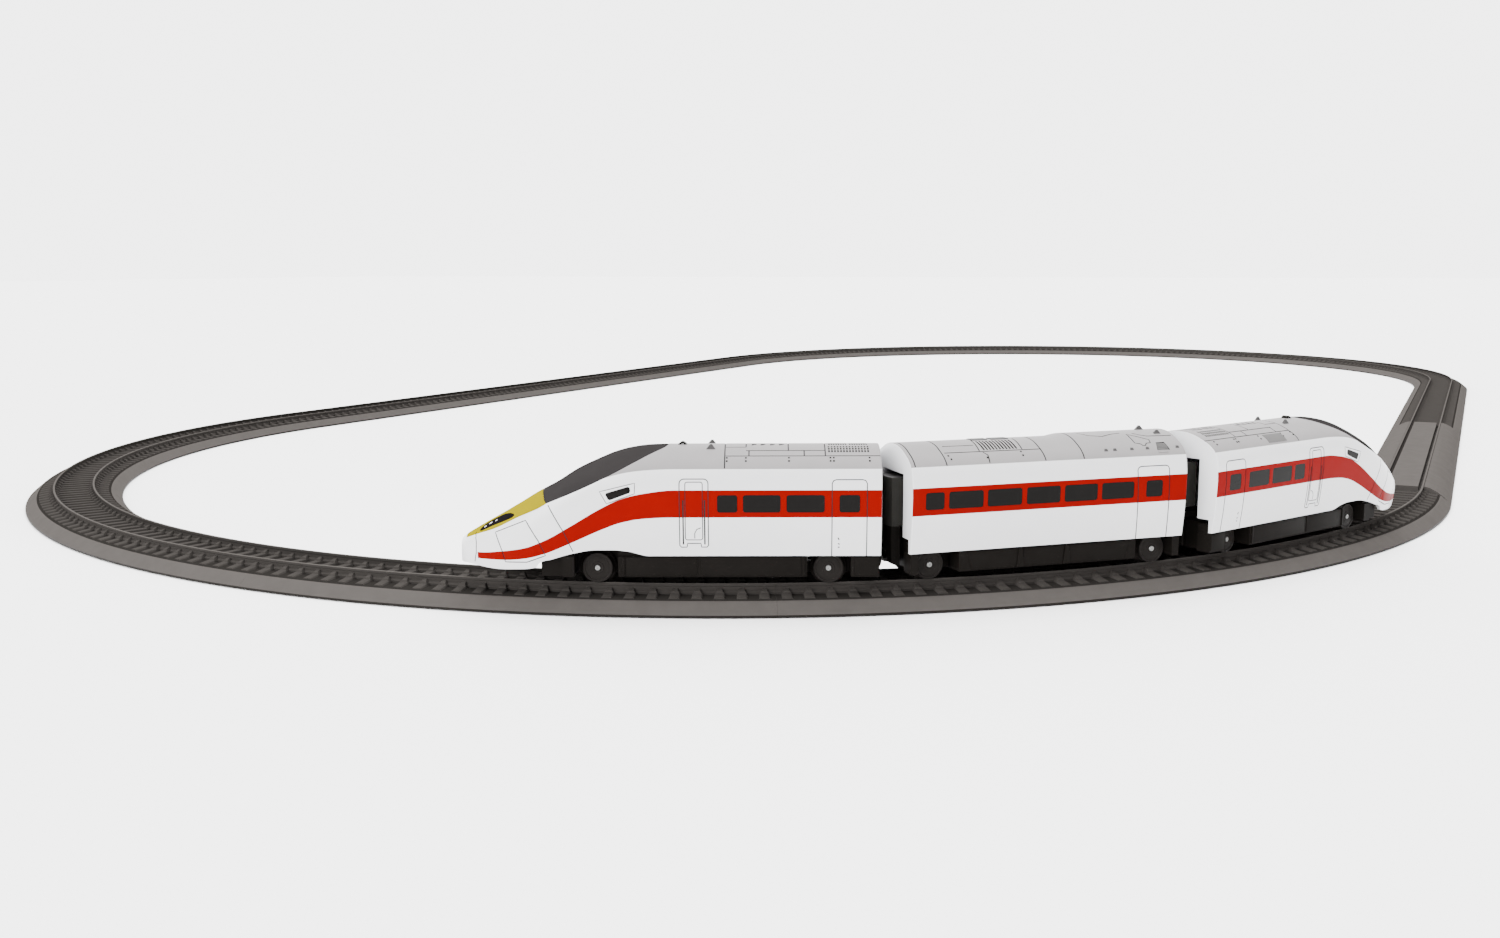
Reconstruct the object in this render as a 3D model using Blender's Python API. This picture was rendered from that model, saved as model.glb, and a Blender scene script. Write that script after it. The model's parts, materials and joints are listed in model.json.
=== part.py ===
# Electric train set: an oval of sectional roadbed track and a three-car battery train.
# The train stands on the near end curve: powered head car, middle car, unpowered tail car.
# Dimensions are in millimetres and the model is built in metres, +Z up.
# Frame: origin on the table under the middle of the oval, +Y along the straights.
# Car axes: X runs from the nose to the gangway end (middle car: toward the tail car),
# Z is up, and the origin is on the table midway between the axles.
import math

import bmesh
import bpy
from mathutils import Matrix, Vector

MM = 0.001

# ---- track
CURVE_R = 360.0                 # centre-line radius
STRAIGHT = 653.6                # length of each straight side
RERAIL = 293.6                  # length of the near straight, plain or rerailing
GAUGE = 16.5
RAIL_TOP, RAIL_W = 8.65, 0.9
DECK = 4.6                      # top of the ballast
FOOT_W, FOOT_Z = 21.4, 0.7      # half width and edge height of the roadbed foot
DECK_W = 16.8                   # half width of the deck
UNDERSIDE = 2.8                 # roof of the hollow below the deck
RERAIL_TOP = 8.1                # plate of the rerailing track
GROOVE = 1.5                    # flange groove beside each rail of the plate
JOIN = 0.15                     # half the gap between neighbouring track pieces
CURVE_STEPS = 8

# ---- cars
HALF_BASE = {"power": 38.7, "middle": 43.0, "tail": 38.7}     # half wheelbase
PLACE = {"power": (26.74, 27.24), "middle": (44.78, 45.0), "tail": (62.99, 244.21)}
HEAD_END, MID_END = 55.9, 52.3  # car centre to the gangway end
BODY_W, BODY_Z, ROOF_Z = 16.7, 18.9, 54.4
ROOF_STEP = 0.8                 # raised rear half of the middle car's roof
WALL, END_WALL, NOSE_WALL = 1.3, 1.6, 3.6
GANG_W, GANG_Z0, GANG_Z1 = 8.8, 23.6, 45.0    # gangway opening in the end wall
SILL_W = 13.6                   # wider opening under the gangway sill
SEAM = 0.12                     # half gap round the windscreen

# ---- chassis and running gear
AXLE_R, AXLE_TIP, AXLE_HALF, AXLE_Z = 0.9, 0.6, 10.6, 13.85
TREAD_R, FLANGE_R, WHEEL_BORE = 5.1, 6.1, 1.2
WHEEL_BACK, WHEEL_FACE = 6.7, 10.2
KEEL_W, BEARING_R = 5.6, 1.3
SKIRT_W, SKIRT_Z0, SKIRT_Z1 = 14.2, 11.6, 18.5
DECK_HALF, DECK_Z0, DECK_Z1 = 13.2, 20.3, 21.7     # chassis deck over the wheels
WELL = 7.3                      # half length of a head car's wheel well
PIVOT = {"power": 47.0, "middle": 43.0, "tail": 47.0}
PIN_R, PIN_TOP = 1.3, 26.3
ARM_W, ARM_Z0, ARM_Z1 = 5.8, 12.5, 43.2            # coupler head
ARM_BACK, ARM_RISE = 7.8, 2.2   # back of the head's lower half, rise of its underside
HEAD_ARM = 10.3                 # reach of a head car's coupler
ARM_GAP = 0.7                   # gap between facing couplers
MAGNET_Z, MAGNET_R, MAGNET_L = 17.5, 2.0, 2.2
FIT = 0.3                       # gap round a piece that sits in another

# ---- drive of the powered car
CELL_R, CELL_L, CELL_Z = 5.25, 43.5, 18.5
NUB_R, NUB_L = 2.0, 1.0         # raised contact of a battery
BAY = (-29.0, 17.0)             # x range of the battery bay
BAY_W, BAY_TOP, BAY_WALL = 11.2, 24.2, 1.5
DOOR_W, DOOR_TOP = 12.3, 12.7
SHAFT_Z = 20.6                  # motor shaft height, worm over the gear
MOTOR_R, MOTOR = 5.1, (20.3, 32.6)
WORM_R, WORM = 1.9, (35.2, 42.2)
SHAFT_R, SHAFT = 0.8, (33.6, 43.6)
GEAR_R, GEAR_W = 4.4, 3.0

COLOURS = {
    "track_plastic": ((0.135, 0.122, 0.112), 0.55, 0.0),
    "body_white": ((0.82, 0.82, 0.82), 0.3, 0.0),
    "screen_tint": ((0.06, 0.055, 0.055), 0.15, 0.0),
    "chassis_black": ((0.020, 0.019, 0.018), 0.5, 0.0),
    "wheel_black": ((0.03, 0.03, 0.03), 0.45, 0.0),
    "axle_steel": ((0.6, 0.6, 0.6), 0.3, 1.0),
    "cell_case": ((0.05, 0.18, 0.3), 0.4, 0.0),
    "motor_can": ((0.5, 0.5, 0.5), 0.35, 1.0),
    "worm_brass": ((0.6, 0.45, 0.18), 0.35, 1.0),
    "gear_nylon": ((0.7, 0.68, 0.62), 0.5, 0.0),
    "board_green": ((0.02, 0.16, 0.07), 0.5, 0.0),
    "magnet_nickel": ((0.55, 0.55, 0.53), 0.3, 1.0),
}


def material(name):
    if name in bpy.data.materials:
        return bpy.data.materials[name]
    colour, rough, metal = COLOURS[name]
    mat = bpy.data.materials.new(name)
    mat.use_nodes = True
    shader = mat.node_tree.nodes["Principled BSDF"]
    shader.inputs["Base Color"].default_value = (*colour, 1)
    shader.inputs["Roughness"].default_value = rough
    shader.inputs["Metallic"].default_value = metal
    return mat


# ------------------------------------------------------------------ shapes, in millimetres
def box(x0, x1, y0, y1, z0, z1):
    bm = bmesh.new()
    size = Matrix.Diagonal((x1 - x0, y1 - y0, z1 - z0, 1))
    middle = Matrix.Translation(((x0 + x1) / 2, (y0 + y1) / 2, (z0 + z1) / 2))
    bmesh.ops.create_cube(bm, size=1, matrix=middle @ size)
    return bm


def extruded(outline, lift):
    """A flat outline of 3-D points, extruded along lift."""
    bm = bmesh.new()
    face = bm.faces.new([bm.verts.new(p) for p in outline])
    out = bmesh.ops.extrude_face_region(bm, geom=[face])
    top = [v for v in out["geom"] if isinstance(v, bmesh.types.BMVert)]
    bmesh.ops.translate(bm, verts=top, vec=lift)
    return bm


def side_prism(outline, half_width):
    """Side-view outline (x, z), extruded across the car."""
    return extruded([(x, -half_width, z) for x, z in outline], (0, 2 * half_width, 0))


TURN = {"X": Matrix.Rotation(math.pi / 2, 4, "Y"), "Y": Matrix.Rotation(-math.pi / 2, 4, "X"),
        "Z": Matrix.Identity(4)}


def turned(profile, axis, at, steps):
    """Profile of (radius, distance along the axis) spun round; an open one ends on the axis."""
    bm = bmesh.new()
    pts = [bm.verts.new((r, 0, s)) for r, s in profile]
    pairs = list(zip(pts, pts[1:]))
    if profile[0][0] > 0:
        pairs.append((pts[-1], pts[0]))
    edges = [bm.edges.new(p) for p in pairs]
    bmesh.ops.spin(bm, geom=pts + edges, cent=(0, 0, 0), axis=(0, 0, 1), angle=2 * math.pi,
                   steps=steps, use_merge=True, use_duplicate=False)
    bmesh.ops.remove_doubles(bm, verts=bm.verts, dist=0.0001)
    bmesh.ops.transform(bm, verts=bm.verts, matrix=Matrix.Translation(at) @ TURN[axis])
    return bm


def rod(radius, s0, s1, axis, at, steps):
    return turned([(0, s0), (radius, s0), (radius, s1), (0, s1)], axis, at, steps)


def swept(rings):
    """Closed rings of points joined one to the next, with a cap at each end."""
    bm = bmesh.new()
    last = [bm.verts.new(p) for p in rings[0]]
    bm.faces.new(last)
    for pts in rings[1:]:
        ring = [bm.verts.new(p) for p in pts]
        for i in range(len(ring)):
            bm.faces.new((last[i - 1], last[i], ring[i], ring[i - 1]))
        last = ring
    bm.faces.new(last)
    return bm


# ------------------------------------------------------------------ objects
def empty(name, location, heading, parent=None):
    """Reference point: location in millimetres, heading in degrees round +Z."""
    guide = bpy.data.objects.new(name, None)
    bpy.context.collection.objects.link(guide)
    guide.parent = parent
    guide.location = Vector(location) * MM
    guide.rotation_euler.z = math.radians(heading)
    bpy.context.view_layer.update()
    return guide


def solid(name, colour, bm, parent=None, origin=(0, 0, 0), smooth=0):
    """Object from a millimetre bmesh, with its own origin at a point of its parent's frame."""
    bmesh.ops.translate(bm, verts=bm.verts, vec=-Vector(origin))
    bmesh.ops.scale(bm, verts=bm.verts, vec=(MM, MM, MM))
    bmesh.ops.recalc_face_normals(bm, faces=bm.faces)
    mesh = bpy.data.meshes.new(name)
    bm.to_mesh(mesh)
    bm.free()
    ob = bpy.data.objects.new(name, mesh)
    bpy.context.collection.objects.link(ob)
    ob.parent = parent
    ob.location = Vector(origin) * MM
    mesh.materials.append(material(colour))
    if smooth:
        mesh.shade_smooth()
        mesh.set_sharp_from_angle(angle=math.radians(smooth))
    return ob


def curve_centre(car):
    """The near curve's centre, the axis of the train's travel, in car axes."""
    return car.matrix_world.inverted() @ Vector((0, -STRAIGHT / 2 * MM, 0)) / MM


def fixed(name, colour, bm, car, smooth=0):
    """Piece that moves with its car: its origin is on the axis of travel."""
    return solid(name, colour, bm, car, curve_centre(car), smooth)


def boolean(ob, bm, operation):
    tool = solid("tool", ob.data.materials[0].name, bm, ob.parent)
    step = ob.modifiers.new(operation, "BOOLEAN")
    step.operation, step.solver, step.object = operation, "EXACT", tool
    bpy.context.view_layer.update()
    graph = bpy.context.evaluated_depsgraph_get()
    result = bpy.data.meshes.new_from_object(ob.evaluated_get(graph), depsgraph=graph)
    ob.modifiers.clear()
    ob.data = result
    result.name = ob.name
    bpy.data.objects.remove(tool, do_unlink=True)


def cut(ob, bm):
    boolean(ob, bm, "DIFFERENCE")


def add(ob, bm):
    boolean(ob, bm, "UNION")


# ------------------------------------------------------------------ track
def mirrored(half):
    return half + [(-o, z) for o, z in half[::-1]]


def track_profile(plated):
    """Cross-section (offset from the centre line, height), hollow underneath."""
    rail_in, rail_out = GAUGE / 2, GAUGE / 2 + RAIL_W
    half = [(-FOOT_W + 2, 0), (-FOOT_W, 0), (-FOOT_W, FOOT_Z)]
    if plated:
        half += [(-19.5, 2.8), (-16.0, 5.4), (-12.5, 7.4), (-rail_out, RERAIL_TOP)]
    else:
        half += [(-DECK_W, DECK), (-rail_out, DECK)]
    half += [(-rail_out, RAIL_TOP), (-rail_in, RAIL_TOP), (-rail_in, DECK)]
    if plated:
        half += [(-rail_in + GROOVE, DECK), (-rail_in + GROOVE, RERAIL_TOP)]
    return mirrored(half) + [(DECK_W - 1.2, UNDERSIDE), (-DECK_W + 1.2, UNDERSIDE)]


def curve_piece(name, start, turn, end):
    """Curve section; angles in degrees from the long axis, end is -1 near or 1 far."""
    pad = math.degrees(JOIN / CURVE_R)
    rings = []
    for k in range(CURVE_STEPS + 1):
        a = math.radians(start + pad + (turn - 2 * pad) * k / CURVE_STEPS)
        rings.append([((CURVE_R + o) * math.sin(a) * -end,
                       end * (STRAIGHT / 2 + (CURVE_R + o) * math.cos(a)), z)
                      for o, z in track_profile(False)])
    solid(name, "track_plastic", swept(rings))


def straight_piece(name, x, y0, y1, plated=False):
    rings = [[(x + o, y, z) for o, z in track_profile(plated)] for y in (y0 + JOIN, y1 - JOIN)]
    solid(name, "track_plastic", swept(rings))


def build_track():
    for i in range(6):
        curve_piece("track_curve_near_%d" % (i + 1), -90 + 30 * i, 30, -1)
        curve_piece("track_curve_far_%d" % (i + 1), -90 + 30 * i, 30, 1)
    near, split, far = -STRAIGHT / 2, -STRAIGHT / 2 + RERAIL, STRAIGHT / 2
    straight_piece("track_rerailer", CURVE_R, near, split, plated=True)
    straight_piece("track_straight_right", CURVE_R, split, far)
    straight_piece("track_straight_left_near", -CURVE_R, near, split)
    straight_piece("track_straight_left_far", -CURVE_R, split, far)


# ------------------------------------------------------------------ car bodies
# stations along a car: x, lower edge, roof line, half width
HEAD_STATIONS = [
    (-86.3, 14.9, 20.5, 0.8), (-85.9, 14.8, 22.2, 2.6), (-84.5, 14.7, 23.5, 4.6),
    (-81.0, 14.5, 25.7, 7.2), (-76.5, 13.9, 28.3, 9.6), (-72.0, 13.6, 30.8, 11.5),
    (-66.0, 13.9, 34.3, 13.6), (-58.5, 14.9, 38.8, 15.4), (-57.9, 16.2, 39.1, 15.5),
    (-53.0, 17.8, 41.7, 16.2), (-46.0, 19.8, 46.1, 16.6), (-38.6, 20.9, 49.6, 16.7),
    (-33.0, 20.9, 51.9, 16.7), (-27.8, 20.4, 53.3, 16.7), (-21.0, BODY_Z, 54.2, BODY_W),
    (-14.0, BODY_Z, ROOF_Z, BODY_W), (HEAD_END, BODY_Z, ROOF_Z, BODY_W)]
MID_STATIONS = [
    (-MID_END, BODY_Z, ROOF_Z, BODY_W), (6.0, BODY_Z, ROOF_Z, BODY_W),
    (12.0, BODY_Z, ROOF_Z + ROOF_STEP, BODY_W), (MID_END, BODY_Z, ROOF_Z + ROOF_STEP, BODY_W)]
# half cross-section: part of the half width, part of the height
SECTION = [(0.898, 0), (0.965, 0.25), (1, 0.51), (0.985, 0.68), (0.93, 0.80), (0.80, 0.875),
           (0.593, 0.932), (0.32, 0.982), (0, 1)]
# side view of the windscreen: front edge going down, then lower edge going back
SCREEN_FRONT = [(-57.9, 60.0), (-57.8, 39.4), (-57.0, 38.8), (-56.3, 38.0), (-55.6, 37.2)]
SCREEN_LOW = [(-54.8, 36.5), (-42.2, 41.9), (-33.3, 46.1), (-26.5, 49.5), (-19.9, 52.5),
              (-13.6, 54.9), (-13.0, 60.0)]


def station(stations, x):
    for a, b in zip(stations, stations[1:]):
        if x <= b[0]:
            t = (x - a[0]) / (b[0] - a[0])
            return (x,) + tuple(p + (q - p) * t for p, q in zip(a[1:], b[1:]))
    return (x,) + stations[-1][1:]


def ring(place, inset=0.0, drop=0.0):
    """Cross-section at a station, shrunk by inset and lengthened downward by drop."""
    x, low, roof, width = place
    low, roof, width = low - drop, roof - inset, width - inset
    half = [(width * f, low + (roof - low) * h) for f, h in SECTION]
    return [(x, y, z) for y, z in half] + [(x, -y, z) for y, z in half[-2::-1]]


def body_shell(name, car, stations, cavity_x, open_ends):
    """Hollow moulding, open below, with a gangway opening in each end given."""
    shell = fixed(name, "body_white", swept([ring(s) for s in stations]), car)
    cut(shell, swept([ring(station(stations, x), WALL, 6.0) for x in cavity_x]))
    for x in open_ends:
        cut(shell, box(x - 3, x + 3, -GANG_W, GANG_W, GANG_Z0 - 1, GANG_Z1))
        cut(shell, box(x - 3, x + 3, -SILL_W, SILL_W, BODY_Z - 8, GANG_Z0))
    return shell


def screen_outline(grow):
    return ([(x - grow, z - grow / 2) for x, z in SCREEN_FRONT]
            + [(x + grow / 2, z - grow) for x, z in SCREEN_LOW])


def head_body(name, car):
    nose = HEAD_STATIONS[0][0] + NOSE_WALL
    inside = [nose, nose + 1.5, nose + 4] + [s[0] for s in HEAD_STATIONS[4:-1]]
    shell = body_shell(name + "_body_shell", car, HEAD_STATIONS,
                       sorted(inside) + [HEAD_END - END_WALL], [HEAD_END])
    cut(shell, side_prism(screen_outline(SEAM), 20))
    screen = fixed(name + "_windscreen", "screen_tint",
                   swept([ring(s) for s in HEAD_STATIONS[6:]]), car)
    boolean(screen, side_prism(screen_outline(-SEAM), 20), "INTERSECT")
    cut(screen, swept([ring(station(HEAD_STATIONS, x), WALL, 6.0)
                       for x in [-70.0] + [s[0] for s in HEAD_STATIONS[7:]]]))


# ------------------------------------------------------------------ chassis, wheels, couplers
def chassis(name, car, skirt, deck, wells, ends):
    """Side skirt between the wheels, deck over them, keel with bearings, coupler pins.

    skirt and deck are x ranges, wells are x ranges round each axle, ends are coupler ends."""
    half = HALF_BASE[name]
    ob = fixed(name + "_chassis", "chassis_black",
               box(*skirt, -SKIRT_W, SKIRT_W, SKIRT_Z0, SKIRT_Z1), car)
    add(ob, box(*deck, -DECK_HALF, DECK_HALF, SKIRT_Z1 - 1, DECK_Z1))
    for x, (x0, x1) in zip((-half, half), wells):
        cut(ob, box(x0, x1, KEEL_W, 20, 5, DECK_Z0))
        cut(ob, box(x0, x1, -20, -KEEL_W, 5, DECK_Z0))
        add(ob, box(x - 3.2, x + 3.2, -KEEL_W, KEEL_W, AXLE_Z - 3, SKIRT_Z1 + 0.5))
        cut(ob, rod(BEARING_R, -KEEL_W - 1, KEEL_W + 1, "Y", (x, 0, AXLE_Z), 12))
    for end in ends:
        pivot = end * PIVOT[name]
        clear = sorted((pivot + end * 5.6, pivot + end * 14))
        cut(ob, box(*clear, -8.7, 8.7, 5, 30))
        add(ob, rod(PIN_R, DECK_Z1 - 1, PIN_TOP, "Z", (pivot, 0, 0), 12))
    return ob


def head_chassis(name, car):
    half = HALF_BASE[name]
    ob = chassis(name, car, (-50.0, 55.4), (-53.0, 55.2),
                 [(-half - WELL, -half + WELL), (half - WELL, half + WELL)], [1])
    add(ob, box(-57.2, -48.0, -12.2, 12.2, SKIRT_Z0, SKIRT_Z1 - 1))
    return ob


def axle_offset(car, x):
    """Side position in car axes that centres an axle on the curved track."""
    centre = curve_centre(car)
    reach = math.sqrt(CURVE_R ** 2 - (x - centre.x) ** 2)
    return centre.y + (reach if centre.y < 0 else -reach)


def wheelset(name, car, x, label, geared=False):
    at = (x, axle_offset(car, x), AXLE_Z)
    taper = AXLE_HALF - 0.4
    solid("%s_axle_%s" % (name, label), "axle_steel",
          turned([(0, -AXLE_HALF), (AXLE_TIP, -AXLE_HALF), (AXLE_R, -taper), (AXLE_R, taper),
                  (AXLE_TIP, AXLE_HALF), (0, AXLE_HALF)], "Y", at, 12), car, at, 40)
    for side, s in (("left", -1), ("right", 1)):
        profile = [(WHEEL_BORE, WHEEL_BACK), (FLANGE_R, WHEEL_BACK), (FLANGE_R, WHEEL_BACK + 0.5),
                   (TREAD_R, WHEEL_BACK + 0.9), (TREAD_R, WHEEL_FACE), (WHEEL_BORE, WHEEL_FACE)]
        solid("%s_wheel_%s_%s" % (name, label, side), "wheel_black",
              turned([(r, s * d) for r, d in profile], "Y", at, 18), car, at, 40)
    if geared:
        solid(name + "_drive_gear", "gear_nylon",
              turned([(WHEEL_BORE, -GEAR_W / 2), (GEAR_R, -GEAR_W / 2), (GEAR_R, GEAR_W / 2),
                      (WHEEL_BORE, GEAR_W / 2)], "Y", at, 16), car, at, 40)


def coupler(name, magnet_name, pivot, length):
    """Swinging coupler: pivot ring, magnet head with a round face, gangway block above."""
    edge = math.asin(ARM_W / length)
    face = [(length * math.cos(edge * k / 3), length * math.sin(edge * k / 3), ARM_Z0)
            for k in range(-3, 4)]
    head = [(ARM_BACK, -ARM_W, ARM_Z0)] + face + [(ARM_BACK, ARM_W, ARM_Z0)]
    ob = solid(name, "chassis_black", extruded(head, (0, 0, ARM_Z1 - ARM_Z0)), pivot)
    cut(ob, side_prism([(ARM_BACK, ARM_Z0), (ARM_BACK, 5), (length + 1, 5),
                        (length + 1, ARM_Z0 + ARM_RISE)], ARM_W + 1))
    add(ob, box(3.4, 8.6, -ARM_W, ARM_W, PIN_TOP + 0.6, ARM_Z1))
    add(ob, box(0, 8.2, -2.6, 2.6, DECK_Z1 + 0.4, PIN_TOP - 1.7))
    add(ob, rod(2.8, DECK_Z1 + 0.4, PIN_TOP - 1.7, "Z", (0, 0, 0), 14))
    cut(ob, rod(PIN_R + FIT, DECK_Z1, PIN_TOP, "Z", (0, 0, 0), 12))
    at = (0, 0, MAGNET_Z)
    front = length - FIT
    back = front - MAGNET_L
    cut(ob, rod(MAGNET_R + FIT, back - FIT, length + 1, "X", at, 12))
    solid(magnet_name, "magnet_nickel", rod(MAGNET_R, back, front, "X", at, 12), pivot,
          smooth=40)


def coupler_pair(ends):
    """Facing couplers, each given as (name, magnet name, car name, car, end).

    The head car's is first; the middle car's reaches over most of the gap."""
    points = [car.matrix_world @ Vector((end * PIVOT[name] * MM, 0, 0))
              for _, _, name, car, end in ends]
    reach = (points[1] - points[0]).length / MM - ARM_GAP
    lengths = (HEAD_ARM, reach - HEAD_ARM)
    for (arm, magnet, name, car, end), other, length in zip(ends, points[::-1], lengths):
        aim = car.matrix_world.inverted() @ other - Vector((end * PIVOT[name] * MM, 0, 0))
        pivot = empty(arm + "_pivot", (end * PIVOT[name], 0, 0),
                      math.degrees(math.atan2(aim.y, aim.x)), car)
        coupler(arm, magnet, pivot, length)


# ------------------------------------------------------------------ drive of the powered car
def power_drive(car, frame):
    """Battery bay, motor seat and worm slot in the chassis, and the pieces in them."""
    x0, x1 = BAY
    rim = BAY_WALL + 0.2
    add(frame, box(x0 - BAY_WALL, x1 + BAY_WALL, -DECK_HALF, DECK_HALF,
                   DECK_Z1 - 1, BAY_TOP + 1.2))
    cut(frame, box(x0, x1, -BAY_W, BAY_W, 10, BAY_TOP))
    cut(frame, box(x0 - rim, x1 + rim, -DOOR_W - FIT, DOOR_W + FIT, 10, DOOR_TOP + FIT))
    cut(frame, box(MOTOR[0] - FIT, 34.0, -MOTOR_R - 0.5, MOTOR_R + 0.5, 15.0, 30))
    cut(frame, box(32.0, WORM[1] + 2.4, -2.4, 2.4, 5, 30))

    rim -= FIT
    fixed("power_battery_door", "chassis_black",
          box(x0 - rim, x1 + rim, -DOOR_W, DOOR_W, SKIRT_Z0, DOOR_TOP), car)
    cell = [(0, 0), (CELL_R, 0), (CELL_R, CELL_L), (NUB_R, CELL_L), (NUB_R, CELL_L + NUB_L),
            (0, CELL_L + NUB_L)]
    fixed("power_battery_1", "cell_case", turned([(r, x0 + FIT + s) for r, s in cell],
                                                 "X", (0, -5.5, CELL_Z), 14), car, 40)
    fixed("power_battery_2", "cell_case", turned([(r, x1 - FIT - s) for r, s in cell],
                                                 "X", (0, 5.5, CELL_Z), 14), car, 40)

    boss = (2.0, MOTOR[1] + 0.8)
    fixed("power_motor", "motor_can",
          turned([(0, MOTOR[0]), (MOTOR_R, MOTOR[0]), (MOTOR_R, MOTOR[1]), (boss[0], MOTOR[1]),
                  boss, (0, boss[1])], "X", (0, 0, SHAFT_Z), 14), car, 40)
    solid("power_motor_worm", "worm_brass",
          turned([(0, SHAFT[0]), (SHAFT_R, SHAFT[0]), (SHAFT_R, WORM[0]), (WORM_R, WORM[0]),
                  (WORM_R, WORM[1]), (SHAFT_R, WORM[1]), (SHAFT_R, SHAFT[1]), (0, SHAFT[1])],
                 "X", (0, 0, SHAFT_Z), 12), car, (HALF_BASE["power"], 0, SHAFT_Z), 40)
    fixed("power_circuit_board", "board_green", box(-24, 8, -10, 10, 25.7, 27.2), car)


# ------------------------------------------------------------------ the train
def car_frame(name):
    """Empty at a car's centre, its axles on the near curve; PLACE gives angle and heading."""
    around, heading = PLACE[name]
    a = math.radians(around)
    r = math.sqrt(CURVE_R ** 2 - HALF_BASE[name] ** 2)
    return empty(name + "_car", (r * math.sin(a), -STRAIGHT / 2 - r * math.cos(a), 0), heading)


def build_train():
    power, middle, tail = (car_frame(name) for name in ("power", "middle", "tail"))
    for name, car in (("power", power), ("tail", tail)):
        head_body(name, car)
        frame = head_chassis(name, car)
        if name == "power":
            power_drive(car, frame)
        wheelset(name, car, -HALF_BASE[name], "front")
        wheelset(name, car, HALF_BASE[name], "rear", geared=name == "power")

    inside = [-MID_END + END_WALL, 6.0, 12.0, MID_END - END_WALL]
    body_shell("middle_body_shell", middle, MID_STATIONS, inside, [-MID_END, MID_END])
    half = HALF_BASE["middle"]
    chassis("middle", middle, (-51.6, 51.6), (-51.2, 51.2),
            [(-half - 5.9, -half + 9.0), (half - 9.0, half + 5.9)], [-1, 1])
    wheelset("middle", middle, -half, "front")
    wheelset("middle", middle, half, "rear")

    coupler_pair([("power_coupler", "power_magnet", "power", power, 1),
                  ("middle_coupler_front", "middle_magnet_front", "middle", middle, -1)])
    coupler_pair([("tail_coupler", "tail_magnet", "tail", tail, 1),
                  ("middle_coupler_rear", "middle_magnet_rear", "middle", middle, 1)])


for old in list(bpy.data.objects):
    bpy.data.objects.remove(old, do_unlink=True)
build_track()
build_train()
bpy.context.view_layer.update()
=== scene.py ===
# Electric train set on its oval of roadbed track: looks, floor, light and camera.
# Lengths are in millimetres unless said otherwise. A car's own axes have X from the nose to the
# gangway end, Z up, and the origin on the table midway between its axles.
import json
import math

import bmesh
import bpy
import numpy as np
from mathutils import Matrix, Vector


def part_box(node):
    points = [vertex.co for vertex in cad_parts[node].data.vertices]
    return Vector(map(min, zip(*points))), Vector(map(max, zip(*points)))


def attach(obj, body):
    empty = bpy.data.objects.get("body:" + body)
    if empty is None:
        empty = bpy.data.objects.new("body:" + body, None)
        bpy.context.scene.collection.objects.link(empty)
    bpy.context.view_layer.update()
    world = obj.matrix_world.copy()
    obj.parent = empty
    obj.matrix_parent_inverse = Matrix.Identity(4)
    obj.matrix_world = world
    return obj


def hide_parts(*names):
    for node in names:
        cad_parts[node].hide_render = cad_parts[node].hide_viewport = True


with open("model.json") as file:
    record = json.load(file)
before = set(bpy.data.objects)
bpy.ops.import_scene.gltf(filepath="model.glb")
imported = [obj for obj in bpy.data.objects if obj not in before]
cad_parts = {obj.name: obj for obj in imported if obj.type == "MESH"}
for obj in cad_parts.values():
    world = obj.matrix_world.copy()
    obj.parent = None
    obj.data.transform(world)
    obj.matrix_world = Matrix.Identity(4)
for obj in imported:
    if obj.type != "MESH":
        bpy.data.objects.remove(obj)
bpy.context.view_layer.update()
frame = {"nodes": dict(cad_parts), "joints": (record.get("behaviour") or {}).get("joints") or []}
MM = 0.001
JOINTS = {j["name"]: j for j in frame["joints"]}


# ================================================================== camera, floor and light
def set_camera():
    data = bpy.data.cameras.new("camera")
    data.sensor_width, data.lens = 36, 33.07
    data.clip_start, data.clip_end = 0.01, 50
    cam = bpy.data.objects.new("camera", data)
    bpy.context.collection.objects.link(cam)
    turn, pitch, roll = 27.837, -8.521, -0.206
    cam.matrix_world = (Matrix.Translation((0.38784, -1.04933, 0.115))
                        @ Matrix.Rotation(math.radians(turn), 4, "Z")
                        @ Matrix.Rotation(math.radians(90 + pitch), 4, "X")
                        @ Matrix.Rotation(math.radians(roll), 4, "Z"))
    bpy.context.scene.camera = cam


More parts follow.
